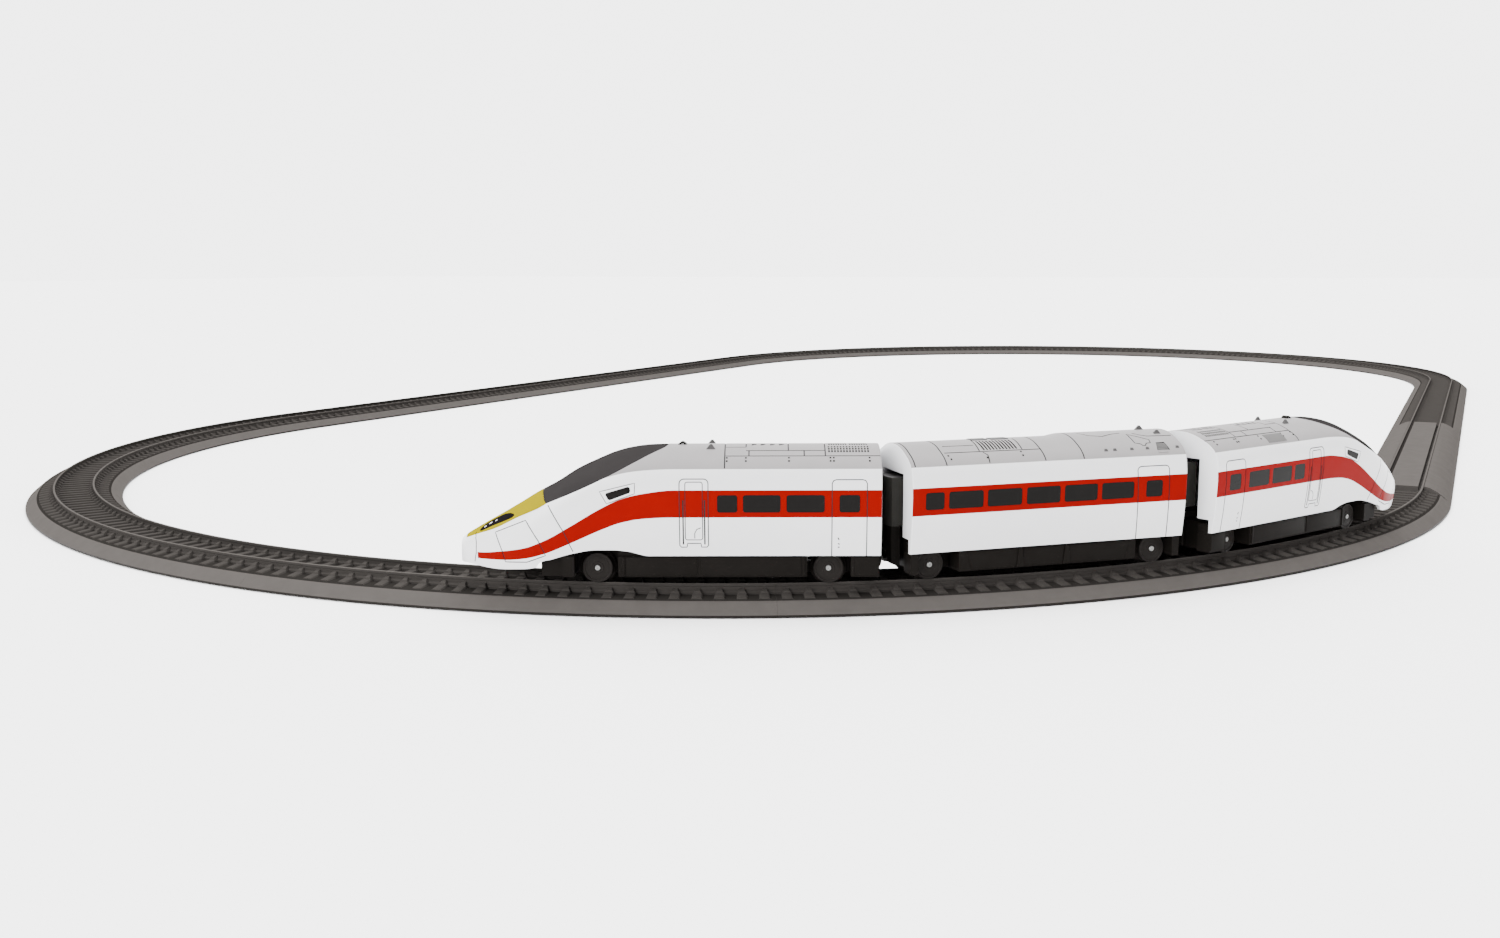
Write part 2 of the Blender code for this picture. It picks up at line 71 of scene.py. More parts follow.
def set_stage():
    bm = bmesh.new()
    bmesh.ops.create_grid(bm, x_segments=1, y_segments=1, size=9)
    mesh = bpy.data.meshes.new("floor")
    bm.to_mesh(mesh)
    bm.free()
    floor = bpy.data.objects.new("floor", mesh)
    bpy.context.collection.objects.link(floor)
    floor.location.z = -0.0004
    mat = bpy.data.materials.new("floor_pale")
    mat.use_nodes = True
    shader = mat.node_tree.nodes["Principled BSDF"]
    shader.inputs["Base Color"].default_value = (0.95, 0.95, 0.95, 1)
    shader.inputs["Roughness"].default_value = 0.8
    shader.inputs["Specular IOR Level"].default_value = 0.2
    mesh.materials.append(mat)

    world = bpy.data.worlds.new("studio")
    bpy.context.scene.world = world
    world.use_nodes = True
    tree = world.node_tree
    behind = tree.nodes.new("ShaderNodeVectorMath")
    behind.operation = "DOT_PRODUCT"
    behind.inputs[1].default_value = (-0.467, 0.884, 0.0)
    tree.links.new(tree.nodes.new("ShaderNodeTexCoord").outputs["Generated"], behind.inputs[0])
    level = tree.nodes.new("ShaderNodeMapRange")
    level.interpolation_type = "SMOOTHSTEP"
    for key, value in zip(("From Min", "From Max", "To Min", "To Max"), (-0.2, 0.6, 0.6, 4.6)):
        level.inputs[key].default_value = value
    tree.links.new(behind.outputs["Value"], level.inputs["Value"])
    tree.links.new(level.outputs[0], tree.nodes["Background"].inputs["Strength"])
    tree.nodes["Background"].inputs["Color"].default_value = (1, 1, 1, 1)
    soft_sun("overhead", 7.0, 60, (0.15, 0.1, 1.0))
    soft_sun("key", 6.0, 45, (-0.25, -0.95, 0.52))


def soft_sun(name, power, spread_deg, toward):
    data = bpy.data.lights.new(name, "SUN")
    data.energy, data.angle = power, math.radians(spread_deg)
    light = bpy.data.objects.new(name, data)
    bpy.context.collection.objects.link(light)
    light.rotation_euler = Vector(toward).to_track_quat("Z", "Y").to_euler()


# ================================================================== materials
def moulded(name, colour, rough, grain, bump, mottle, specular=0.5, metal=0.0, coat=0.0):
    """Procedural plastic, paint or metal: fine grain in the bump and the roughness, with a
    slow drift of tone. grain is its feature size and bump its height, in millimetres."""
    mat = bpy.data.materials.new(name)
    mat.use_nodes = True
    tree = mat.node_tree
    shader = tree.nodes["Principled BSDF"]
    shader.inputs["Metallic"].default_value = metal
    shader.inputs["Coat Weight"].default_value = coat
    shader.inputs["Coat Roughness"].default_value = 0.12
    shader.inputs["Specular IOR Level"].default_value = specular
    place = tree.nodes.new("ShaderNodeTexCoord").outputs["Object"]

    def noise(size, detail):
        node = tree.nodes.new("ShaderNodeTexNoise")
        node.inputs["Scale"].default_value = 1 / (size * MM)
        node.inputs["Detail"].default_value = detail
        tree.links.new(place, node.inputs["Vector"])
        return node.outputs["Fac"]

    def times(value, factor, operation):
        node = tree.nodes.new("ShaderNodeMath")
        node.operation = operation
        tree.links.new(value, node.inputs[0])
        node.inputs[1].default_value = factor
        return node

    fine, slow = noise(grain, 3.0), noise(6.0, 2.0)
    tone = tree.nodes.new("ShaderNodeMapRange")
    tone.inputs["From Min"].default_value, tone.inputs["From Max"].default_value = 0.3, 0.7
    blend = times(fine, 0.4, "MULTIPLY_ADD")
    tree.links.new(times(slow, 0.6, "MULTIPLY").outputs[0], blend.inputs[2])
    tree.links.new(blend.outputs[0], tone.inputs["Value"])
    ramp = tree.nodes.new("ShaderNodeMix")
    ramp.data_type = "RGBA"
    low = [c * (1 - mottle) for c in colour]
    high = [min(1, c * (1 + mottle)) for c in colour]
    ramp.inputs["A"].default_value = (*low, 1)
    ramp.inputs["B"].default_value = (*high, 1)
    tree.links.new(tone.outputs[0], ramp.inputs["Factor"])
    tree.links.new(ramp.outputs["Result"], shader.inputs["Base Color"])
    gloss = tree.nodes.new("ShaderNodeMapRange")
    gloss.inputs["To Min"].default_value = max(0.02, rough - 0.05)
    gloss.inputs["To Max"].default_value = min(1, rough + 0.05)
    tree.links.new(fine, gloss.inputs["Value"])
    tree.links.new(gloss.outputs[0], shader.inputs["Roughness"])
    relief = tree.nodes.new("ShaderNodeBump")
    relief.inputs["Distance"].default_value = bump * MM
    relief.inputs["Strength"].default_value = 1.0
    tree.links.new(fine, relief.inputs["Height"])
    tree.links.new(relief.outputs["Normal"], shader.inputs["Normal"])
    return mat


# each: name, linear colour, roughness, grain, bump, mottle, specular, metal, coat
SURFACES = {
    "white": ("body_white", (0.62, 0.62, 0.63), 0.30, 0.5, 0.002, 0.012, 0.5, 0.0, 0.1),
    "red": ("livery_red", (0.150, 0.0, 0.0), 0.35, 0.4, 0.002, 0.05, 0.02),
    "yellow": ("livery_yellow", (0.185, 0.150, 0.0), 0.35, 0.4, 0.002, 0.02, 0.0),
    "roof": ("roof_grey", (0.205, 0.197, 0.197), 0.5, 0.3, 0.006, 0.025, 0.04),
    "line": ("seam_shadow", (0.018, 0.0172, 0.0175), 0.6, 0.3, 0.004, 0.06, 0.1),
    # roof_shade is near-black: painted shade on the cut faces of roof grooves, slits and recesses
    "roof_shade": ("roof_groove_shadow", (0.011, 0.0105, 0.0105), 0.6, 0.3, 0.004, 0.06, 0.1),
    # vent_grey_and_highlight is the real grey of aerials and roof plates, and a painted highlight
    # on the tops of the gangway blocks
    "vent": ("vent_grey_and_highlight", (0.050, 0.048, 0.048), 0.55, 0.25, 0.01, 0.06, 0.15),
    "hatch": ("hatch_grey", (0.095, 0.092, 0.091), 0.55, 0.25, 0.01, 0.06, 0.04),
    "glass": ("window_tint", (0.0048, 0.0043, 0.0040), 0.16, 0.6, 0.001, 0.10, 0.04),
    "screen": ("windscreen_tint", (0.0195, 0.0180, 0.0180), 0.25, 0.5, 0.001, 0.05, 0.0),
    "lens": ("headlamp_lens", (0.0060, 0.0052, 0.0056), 0.15, 0.4, 0.002, 0.15, 0.0),
    "lamp": ("headlamp_reflector", (0.45, 0.45, 0.46), 0.25, 0.2, 0.004, 0.06, 0.3),
    "black": ("chassis_black", (0.0058, 0.0050, 0.0044), 0.45, 0.22, 0.010, 0.10, 0.02),
    # wheel black also colours the roadbed's low foot edge, as painted shade
    "wheel": ("wheel_black", (0.0118, 0.0104, 0.0095), 0.45, 0.25, 0.008, 0.08, 0.03),
    "gangway": ("gangway_grey", (0.0260, 0.0250, 0.0228), 0.55, 0.28, 0.012, 0.08, 0.03),
    "steel": ("axle_steel", (0.17, 0.17, 0.165), 0.35, 0.1, 0.002, 0.05, 0.5, 0.6),
    # roadbed_plastic also lightens the rail tops, as a painted highlight
    "track": ("roadbed_plastic", (0.051, 0.0466, 0.0436), 0.50, 0.22, 0.014, 0.07, 0.0),
    # deck_shade is darker than the roadbed: painted shade on the deck between the sleepers
    "deck_shade": ("deck_shade_plastic", (0.0130, 0.0118, 0.0108), 0.60, 0.22, 0.02, 0.08, 0.0),
    "rail": ("rail_plastic", (0.029, 0.0264, 0.0245), 0.55, 0.3, 0.005, 0.05, 0.0),
    "cell": ("cell_case", (0.03, 0.10, 0.17), 0.30, 0.4, 0.002, 0.05, 0.3),
    "can": ("motor_can", (0.35, 0.35, 0.35), 0.30, 0.15, 0.002, 0.05, 0.5, 1.0),
    "brass": ("worm_brass", (0.40, 0.29, 0.10), 0.28, 0.12, 0.002, 0.06, 0.5, 1.0),
    "nylon": ("gear_nylon", (0.45, 0.43, 0.38), 0.45, 0.3, 0.006, 0.03),
    "board": ("board_green", (0.008, 0.06, 0.025), 0.40, 0.5, 0.004, 0.12, 0.3),
    "nickel": ("magnet_nickel", (0.40, 0.40, 0.38), 0.22, 0.2, 0.002, 0.05, 0.5, 1.0),
}
MATS = {key: moulded(*values) for key, values in SURFACES.items()}


# ================================================================== mesh helpers
def make(name, points, faces, mats, body, axes=None, smooth=30, bevel=0.0, replaces=()):
    """Object from points in millimetres. faces are (indices, material index) pairs."""
    bm = bmesh.new()
    verts = [bm.verts.new(p) for p in points]
    for idx, slot in faces:
        keep = [verts[i] for n, i in enumerate(idx) if i != idx[n - 1]]
        if len(set(keep)) < 3:
            continue
        try:
            bm.faces.new(keep).material_index = slot
        except ValueError:
            pass
    bmesh.ops.remove_doubles(bm, verts=bm.verts, dist=0.002)
    bmesh.ops.dissolve_degenerate(bm, edges=bm.edges, dist=0.0005)
    loose = [v for v in bm.verts if not v.link_faces]
    bmesh.ops.delete(bm, geom=loose, context="VERTS")
    bmesh.ops.recalc_face_normals(bm, faces=bm.faces)
    return finish_mesh(name, bm, mats, body, axes, smooth, bevel, replaces)


def finish_mesh(name, bm, mats, body, axes=None, smooth=30, bevel=0.0, replaces=()):
    if bevel:
        edges = [e for e in bm.edges if len(e.link_faces) == 2
                 and e.calc_face_angle(0) > math.radians(30)]
        bmesh.ops.bevel(bm, geom=edges, offset=bevel, segments=2, profile=0.6, affect="EDGES",
                        clamp_overlap=True)
    place = Matrix.Scale(MM, 4)
    if axes is not None:
        place = axes @ place
    bmesh.ops.transform(bm, verts=bm.verts, matrix=place)
    mesh = bpy.data.meshes.new(name)
    bm.to_mesh(mesh)
    bm.free()
    for m in mats:
        mesh.materials.append(MATS[m])
    if smooth:
        mesh.shade_smooth()
        mesh.set_sharp_from_angle(angle=math.radians(smooth))
    ob = bpy.data.objects.new(name, mesh)
    bpy.context.collection.objects.link(ob)
    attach(ob, body)
    if replaces:
        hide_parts(*replaces)
    return ob


def apply_modifiers(ob):
    bpy.context.view_layer.update()
    graph = bpy.context.evaluated_depsgraph_get()
    mesh = bpy.data.meshes.new_from_object(ob.evaluated_get(graph), depsgraph=graph)
    ob.modifiers.clear()
    ob.data = mesh
    mesh.name = ob.name


def lathe(profile, steps=48):
    """Profile of (radius, distance) spun round +Z; returns a bmesh."""
    bm = bmesh.new()
    rings = []
    for r, s in profile:
        turns = [2 * math.pi * k / steps for k in range(steps if r else 1)]
        ring = [bm.verts.new((r * math.cos(a), r * math.sin(a), s)) for a in turns]
        rings.append(ring if r else ring * steps)
    if profile[0][0] > 0:
        rings.append(rings[0])
    for a, b in zip(rings, rings[1:]):
        for k in range(steps):
            n = (k + 1) % steps
            bm.faces.new(list(dict.fromkeys((a[k], a[n], b[n], b[k]))))
    bmesh.ops.recalc_face_normals(bm, faces=bm.faces)
    return bm


class Mesh:
    """Points and faces gathered for one object."""

    def __init__(self):
        self.points, self.faces = [], []

    def add(self, points, faces, slot=0):
        base = len(self.points)
        self.points += [tuple(p) for p in points]
        self.faces += [(tuple(i + base for i in f), slot) for f in faces]

    def block(self, corners, slot=0):
        """Eight corners, lower four and then upper four, both in order round."""
        self.add(corners, [(3, 2, 1, 0), (4, 5, 6, 7), (0, 1, 5, 4), (1, 2, 6, 5),
                           (2, 3, 7, 6), (3, 0, 4, 7)], slot)

    def box(self, x0, x1, y0, y1, z0, z1, slot=0):
        self.block([(x, y, z) for z in (z0, z1)
                    for x, y in ((x0, y0), (x1, y0), (x1, y1), (x0, y1))], slot)

    def tube(self, rings, slot=0, closed=False):
        """Closed rings joined one to the next; open tubes get end caps."""
        n = len(rings[0])
        faces = []
        pairs = len(rings) if closed else len(rings) - 1
        for k in range(pairs):
            a, b = k * n, (k + 1) % len(rings) * n
            faces += [(a + i, a + (i + 1) % n, b + (i + 1) % n, b + i) for i in range(n)]
        if not closed:
            last = (len(rings) - 1) * n
            faces += [tuple(range(n))[::-1], tuple(range(last, last + n))]
        self.add([p for ring in rings for p in ring], faces, slot)

    def solid(self):
        """The gathered faces as a bmesh, unmerged, with normals outward."""
        bm = bmesh.new()
        verts = [bm.verts.new(p) for p in self.points]
        for idx, slot in self.faces:
            bm.faces.new([verts[i] for i in idx]).material_index = slot
        bmesh.ops.recalc_face_normals(bm, faces=bm.faces)
        return bm


# ================================================================== track
CURVE_R = (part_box("track_straight_right")[0].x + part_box("track_straight_right")[1].x) / 2 / MM
HALF_SIDE = -JOINTS["train_travel"]["pos_m"][1] / MM       # half a straight side's length
RAIL_TOP, GAUGE, RAIL_W, RAIL_FOOT = 8.65, 16.5, 0.9, 2.0
BALLAST, SLEEPER_TOP = 5.0, 5.75
FOOT = 21.4                                                 # half width of the roadbed
PITCH = 7.2                                                 # sleeper spacing
CAD_GAP = 0.15                  # the CAD's straight pieces end this much short of the joint
# Slot 2 gives the deck between the sleepers a darker colour, painted shade in the gaps.
RIB, DECK_SHADE, EDGE = 1, 2, 3                                    # material slots


class Path:
    """Centre line of one track piece: gives the point at a distance, offset and height."""

    def __init__(self, node):
        self.curve = "curve" in node
        self.end = 1 if "far" in node else -1
        lo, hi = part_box(node)
        if self.curve:
            self.start, self.length = -90 + 30 * (int(node[-1]) - 1), math.radians(30) * CURVE_R
        else:
            self.x = (lo.x + hi.x) / 2 / MM
            self.y0 = lo.y / MM - CAD_GAP
            self.length = (hi.y - lo.y) / MM + 2 * CAD_GAP

    def at(self, s, off, z):
        if self.curve:
            a = math.radians(self.start) + s / CURVE_R
            r = CURVE_R + off
            return (-self.end * r * math.sin(a), self.end * (HALF_SIDE + r * math.cos(a)), z)
        return (self.x + off, self.y0 + s, z)

    def stops(self, s0, s1):
        count = max(2, round((s1 - s0) / 6.0)) if self.curve else 1
        return [s0 + (s1 - s0) * k / count for k in range(count + 1)]


def sweep(part, path, profile, s0, s1, slot=0):
    part.tube([[path.at(s, o, z) for o, z in profile] for s in path.stops(s0, s1)], slot)


def bed_profile(plated):
    """Closed section of the roadbed: foot edge, sloping flank, shoulder, deck and hollow."""
    if plated:
        flank = [(-FOOT, 0.75), (-20.6, 1.15), (-19.4, 2.6), (-17.6, 4.3), (-15.0, 6.2),
                 (-12.2, 7.6), (-10.4, 8.2), (-9.4, 8.35), (-9.25, 8.2)]
        deck = [(-9.25, 4.6), (-7.9, 4.6), (-6.9, 4.6), (-6.75, 4.8), (-6.75, 8.1),
                (-6.6, 8.25)]
    else:
        flank = [(-FOOT, 0.75), (-21.15, 0.95), (-17.3, 4.15), (-16.9, 4.4), (-16.4, 4.45),
                 (-16.1, 4.6), (-15.9, 4.75)]
        deck = [(-9.0, BALLAST)]
    half = [(-19.4, 0), (-FOOT, 0)] + flank + deck
    inner = [(15.4, 2.9), (-15.4, 2.9)]
    return half + [(-o, z) for o, z in half[::-1]] + inner


def rail_profile(side):
    """Rail with head, web and foot, standing on the deck at half the gauge."""
    c, h = GAUGE / 2 + RAIL_W / 2, RAIL_W / 2
    right = [(RAIL_FOOT / 2, BALLAST - 0.3), (RAIL_FOOT / 2, SLEEPER_TOP - 0.1),
             (RAIL_FOOT / 2 - 0.25, SLEEPER_TOP + 0.2), (0.24, SLEEPER_TOP + 0.5), (0.22, 7.5),
             (h, 7.75), (h, RAIL_TOP - 0.15), (h - 0.14, RAIL_TOP)]
    full = right + [(-o, z) for o, z in right[::-1]]
    return [(side * (c + o), z) for o, z in full]


def sleeper(part, path, s):
    """One sleeper, its ends sloping down, with a wedge-shaped chair on each side of the rails."""
    w, t = 1.9, 1.5
    ring = [(-w, BALLAST - 0.4), (w, BALLAST - 0.4), (t, SLEEPER_TOP - 0.1),
            (t - 0.2, SLEEPER_TOP), (-t + 0.2, SLEEPER_TOP), (-t, SLEEPER_TOP - 0.1)]
    rings = []
    for off, drop in ((-15.4, 0.6), (-11.6, 0.1), (-10.9, 0), (10.9, 0), (11.6, 0.1),
                      (15.4, 0.6)):
        rings.append([path.at(s + d, off, z - (drop if z > BALLAST else 0)) for d, z in ring])
    part.tube(rings, RIB)
    centre = GAUGE / 2 + RAIL_W / 2
    for rail in (-1, 1):
        for side in (-1, 1):
            near, far = rail * centre + side * 0.3, rail * centre + side * 2.6
            low, top = SLEEPER_TOP - 0.5, SLEEPER_TOP + 1.3
            corners = [(1.7, far, low), (-1.7, far, low), (-1.7, near, low), (1.7, near, low),
                       (1.0, far - side * 0.6, low + 1.1), (-1.0, far - side * 0.6, low + 1.1),
                       (-0.6, near, top), (0.6, near, top)]
            part.block([path.at(s + d, o, z) for d, o, z in corners], RIB)


def track_piece(node):
    path, part = Path(node), Mesh()
    gap = 0.02
    s0, s1 = gap, path.length - gap
    plated = node == "track_rerailer"
    profile = bed_profile(plated)
    sweep(part, path, profile, s0, s1)
    if not plated:
        # The deck and shoulder faces take slot 2, painted shade between the sleepers; the low
        # foot edge takes slot 3, painted shade along the roadbed's rim.
        tones = [DECK_SHADE if min(p[1], q[1]) > 4.4 else EDGE if max(p[1], q[1]) < 0.8 else 0
                 for p, q in zip(profile, profile[1:] + profile[:1])]
        part.faces = [(f, tones[n % len(tones)] if len(f) == 4 else 0)
                      for n, (f, _) in enumerate(part.faces)]
    for side in (-1, 1):
        sweep(part, path, rail_profile(side), s0, s1, RIB)
    # Faces above this height, the rail tops, take the lighter roadbed colour: a painted
    # highlight.
    rail_top_highlight = RAIL_TOP - 0.2
    part.faces = [(f, 0 if min(part.points[i][2] for i in f) > rail_top_highlight else slot)
                  for f, slot in part.faces]
    if not plated:
        count = round(path.length / PITCH)
        for k in range(count):
            sleeper(part, path, path.length * (k + 0.5) / count)
    name = node.replace("track_", "roadbed_")
    # The fourth slot puts wheel black on the foot edge, painted shade.
    return make(name, part.points, part.faces, ["track", "rail", "deck_shade", "wheel"], "track",
                smooth=35, replaces=(node,))


# ================================================================== car body surface
def smooth_through(points):
    """Smooth function through (x, value) points that never overshoots them."""
    xs, ys = (np.array(v, float) for v in zip(*points))
    h, d = np.diff(xs), np.diff(ys) / np.diff(xs)
    m = np.zeros(len(xs))
    m[0], m[-1] = d[0], d[-1]
    for i in range(1, len(xs) - 1):
        if d[i - 1] * d[i] > 0:
            a, b = 2 * h[i] + h[i - 1], h[i] + 2 * h[i - 1]
            m[i] = (a + b) / (a / d[i - 1] + b / d[i])

    def at(x):
        i = int(np.clip(np.searchsorted(xs, x) - 1, 0, len(h) - 1))
        t = min(max((x - xs[i]) / h[i], 0.0), 1.0)
        return ((1 + 2 * t) * (1 - t) ** 2 * ys[i] + t * (1 - t) ** 2 * h[i] * m[i]
                + t * t * (3 - 2 * t) * ys[i + 1] + t * t * (t - 1) * h[i] * m[i + 1])

    return at


HEAD_END, MID_END, NOSE = 55.9, 52.3, -86.3
# stations: x, lower edge, roof line, half width
HEAD_STATIONS = [
    (-86.3, 14.9, 20.5, 0.8), (-85.9, 14.8, 22.2, 2.6), (-84.5, 14.7, 23.5, 4.6),
    (-81.0, 14.5, 25.7, 7.2), (-76.5, 13.9, 28.3, 9.6), (-72.0, 13.6, 30.8, 11.5),
    (-66.0, 13.9, 34.3, 13.6), (-58.5, 14.9, 38.8, 15.4), (-57.9, 16.2, 39.1, 15.5),
    (-53.0, 17.8, 41.7, 16.2), (-46.0, 19.8, 46.1, 16.6), (-38.6, 20.9, 49.6, 16.7),
    (-33.0, 20.9, 51.9, 16.7), (-27.8, 20.4, 53.3, 16.7), (-21.0, 18.9, 54.2, 16.7),
    (-14.0, 18.9, 54.4, 16.7), (HEAD_END, 18.9, 54.4, 16.7)]
MID_STATIONS = [(-MID_END, 18.9, 54.4, 16.7), (6.0, 18.9, 54.4, 16.7),
                (12.0, 18.9, 55.2, 16.7), (MID_END, 18.9, 55.2, 16.7)]
SECTION = [(0.898, 0), (0.965, 0.25), (1, 0.51), (0.985, 0.68), (0.93, 0.80), (0.80, 0.875),
           (0.593, 0.932), (0.32, 0.982), (0, 1)]


def section_table():
    """Rounded version of SECTION: arc parameter 0 to 1, width part and height part."""
    pts = [Vector((2 * SECTION[0][0] - SECTION[1][0], -0.25))] + [Vector(p) for p in SECTION]
    pts.append(Vector((-SECTION[-2][0], SECTION[-2][1])))
    out = []
    for a, b, c, d in zip(pts, pts[1:], pts[2:], pts[3:]):
        for k in range(16):
            t = k / 16
            out.append(0.5 * (2 * b + (c - a) * t + (2 * a - 5 * b + 4 * c - d) * t * t
                              + (3 * b - a - 3 * c + d) * t ** 3))
    out.append(pts[-2])
    f, h = np.array([p.x for p in out]), np.array([p.y for p in out])
    arc = np.concatenate([[0], np.cumsum(np.hypot(np.diff(f) * 16.7, np.diff(h) * 35.5))])
    return arc / arc[-1], f, np.maximum.accumulate(h)


ARC, WIDE, HIGH = section_table()
WIDEST = int(np.argmax(WIDE))


class Hull:
    """Outer surface of a car body: x along the car, s from 0 (lower edge at +Y) over the
    crest at 1 to 2 (lower edge at -Y)."""

    def __init__(self, stations):
        self.low = smooth_through([(a[0], a[1]) for a in stations])
        self.roof = smooth_through([(a[0], a[2]) for a in stations])
        self.half = smooth_through([(a[0], a[3]) for a in stations])

    def t_at_height(self, x, z):
        h = (z - self.low(x)) / (self.roof(x) - self.low(x))
        return float(np.interp(h, HIGH, ARC))

    def t_at_width(self, x, y):
        f = min(abs(y) / self.half(x), 1)
        return float(np.interp(-f, -WIDE[WIDEST:], ARC[WIDEST:]))

    def section(self, x, s, inset=0.0):
        t, side = (s, 1) if s <= 1 else (2 - s, -1)
        low, roof, half = self.low(x), self.roof(x) - inset, self.half(x) - inset
        return Vector((x, side * half * float(np.interp(t, ARC, WIDE)),
                       low + (roof - low) * float(np.interp(t, ARC, HIGH))))

    def point(self, x, s, out=0.0):
        p = self.section(x, s)
        if out:
            p = p + self.normal(x, s) * out
        return p

    def normal(self, x, s):
        a, b = max(s - 0.02, 0), min(s + 0.02, 2)
        along = self.section(x + 0.2, s) - self.section(x - 0.2, s)
        return -(along.cross(self.section(x, b) - self.section(x, a))).normalized()

    def side(self, x, z, sign):
        t = self.t_at_height(x, z)
        return t if sign > 0 else 2 - t

    def top(self, x, y):
        t = self.t_at_width(x, y)
        return t if y >= 0 else 2 - t


HEAD, MID = Hull(HEAD_STATIONS), Hull(MID_STATIONS)

# livery lines of a head car in side view
STRIPE_TOP = smooth_through([(-90, 18.8), (-79.4, 18.8), (-69.9, 19.9), (-62.6, 21.3),
                             (-55.7, 24.0), (-46.3, 29.3), (-37, 34.8), (-29.8, 38.2),
                             (-22.9, 39.9), (-12.5, 41.05), (60, 41.05)])
STRIPE_LOW = smooth_through([(-90, 16.9), (-79.4, 16.9), (-69.7, 17.1), (-62.8, 17.9),
                             (-55.9, 19.7), (-47.5, 23.2), (-37, 27.9), (-30, 30.5),
                             (-23, 31.8), (-14, 32.25), (60, 32.25)])
YELLOW_LOW = smooth_through([(-84.2, 22.9), (-79.7, 24.8), (-73.1, 27.3), (-64.6, 31.6),
                             (-56.9, 35.2), (-54.8, 36.5)])
SCREEN_FRONT = smooth_through([(-57.8, 39.3), (-57.2, 38.95), (-56.6, 38.4), (-55.7, 37.3),
                               (-54.8, 36.5)])
SCREEN_LOW = smooth_through([(-54.8, 36.5), (-42.2, 41.9), (-33.3, 46.1), (-26.5, 49.5),
                             (-19.9, 52.5), (-14.8, 54.35)])
ROOF_LOW = smooth_through([(-35.5, 45.06), (-31.5, 46.2), (-26.3, 47.2), (-19.4, 47.8),
                           (-13, 48.0), (60, 48.0)])
YELLOW_TIP, SCREEN_X0, SCREEN_X1, SCREEN_X2, ROOF_X = -84.2, -57.8, -54.8, -14.8, -35.5
STRIPE_X = -79.4
EDGE_R = 0.35                     # rounding of the gangway end's edge
WALL, END_WALL = 1.3, 1.6         # thickness of the shell and of its gangway end
# opening in the gangway end: half widths above and below its step, lower edge, step, top
GANG_W, SILL_W, BODY_Z, GANG_Z0, GANG_Z1 = 8.8, 13.6, 18.9, 23.6, 45.0


def head_levels(x):
    """Section parameters of the livery's boundaries at x: lower edge, stripe, A, B, crest."""
    at = lambda z: HEAD.t_at_height(x, z)
    if x <= YELLOW_TIP:
        a = 1 - min(0.15, (YELLOW_TIP - x) * 0.3)
    elif x <= SCREEN_X1:
        a = at(min(YELLOW_LOW(x), HEAD.roof(x))) if x > YELLOW_TIP + 0.3 else (
            1 + (at(YELLOW_LOW(YELLOW_TIP + 0.3)) - 1) * (x - YELLOW_TIP) / 0.3)
    elif x <= ROOF_X:
        sag = 2.2 * math.sin(math.pi * (x - SCREEN_X1) / (ROOF_X - SCREEN_X1))
        a = at(SCREEN_LOW(x) - sag)
    else:
        a = at(ROOF_LOW(x))
    if x <= -60:
        b = (a + 1) / 2
    elif x <= SCREEN_X0:
        b = (a + 1) / 2 + (1 - a) / 2 * (x + 60) / (SCREEN_X0 + 60)
    elif x <= SCREEN_X1:
        b = at(SCREEN_FRONT(x))
    elif x <= SCREEN_X2:
        b = at(SCREEN_LOW(x))
    else:
        b = 1 - min(0.22, (x - SCREEN_X2) * 0.04)
    if x in (SCREEN_X0, SCREEN_X2):
        b = 1.0
    return [0, at(STRIPE_LOW(x) - 0.15), at(STRIPE_TOP(x) + 0.15), a, max(a, b), 1]


def head_zone(x, group):
    if x > HEAD_END - EDGE_R * 0.3:
        return "white"
    if group == 1:
        return "red" if x > STRIPE_X else "white"
    if group == 3:
        return "yellow" if YELLOW_TIP < x < SCREEN_X1 else "roof" if x > ROOF_X else "white"
    if group == 4:
        if YELLOW_TIP < x < SCREEN_X0:
            return "yellow"
        if x > SCREEN_X2:
            return "roof"
        return "screen" if x > SCREEN_X0 else "white"
    return "white"


def mid_levels(x):
    return [0] + [MID.t_at_height(x, z) for z in (31.9, 41.2, 48.0)] + [1]


def mid_zone(x, group):
    if abs(x) > MID_END - EDGE_R * 0.3:
        return "white"
    return {1: "red", 3: "roof"}.get(group, "white")


def spread(x0, x1, step):
    n = max(1, round((x1 - x0) / step))
    return [x0 + (x1 - x0) * k / n for k in range(n)]


def rounded_end(x, sign):
    """Stations of a rounded end edge: (x, inset)."""
    turn = [math.radians(a) for a in (0, 30, 60, 90)]
    ring = [(x - sign * EDGE_R * (1 - math.sin(a)), EDGE_R * (1 - math.cos(a))) for a in turn]
    return ring if sign > 0 else ring[::-1]


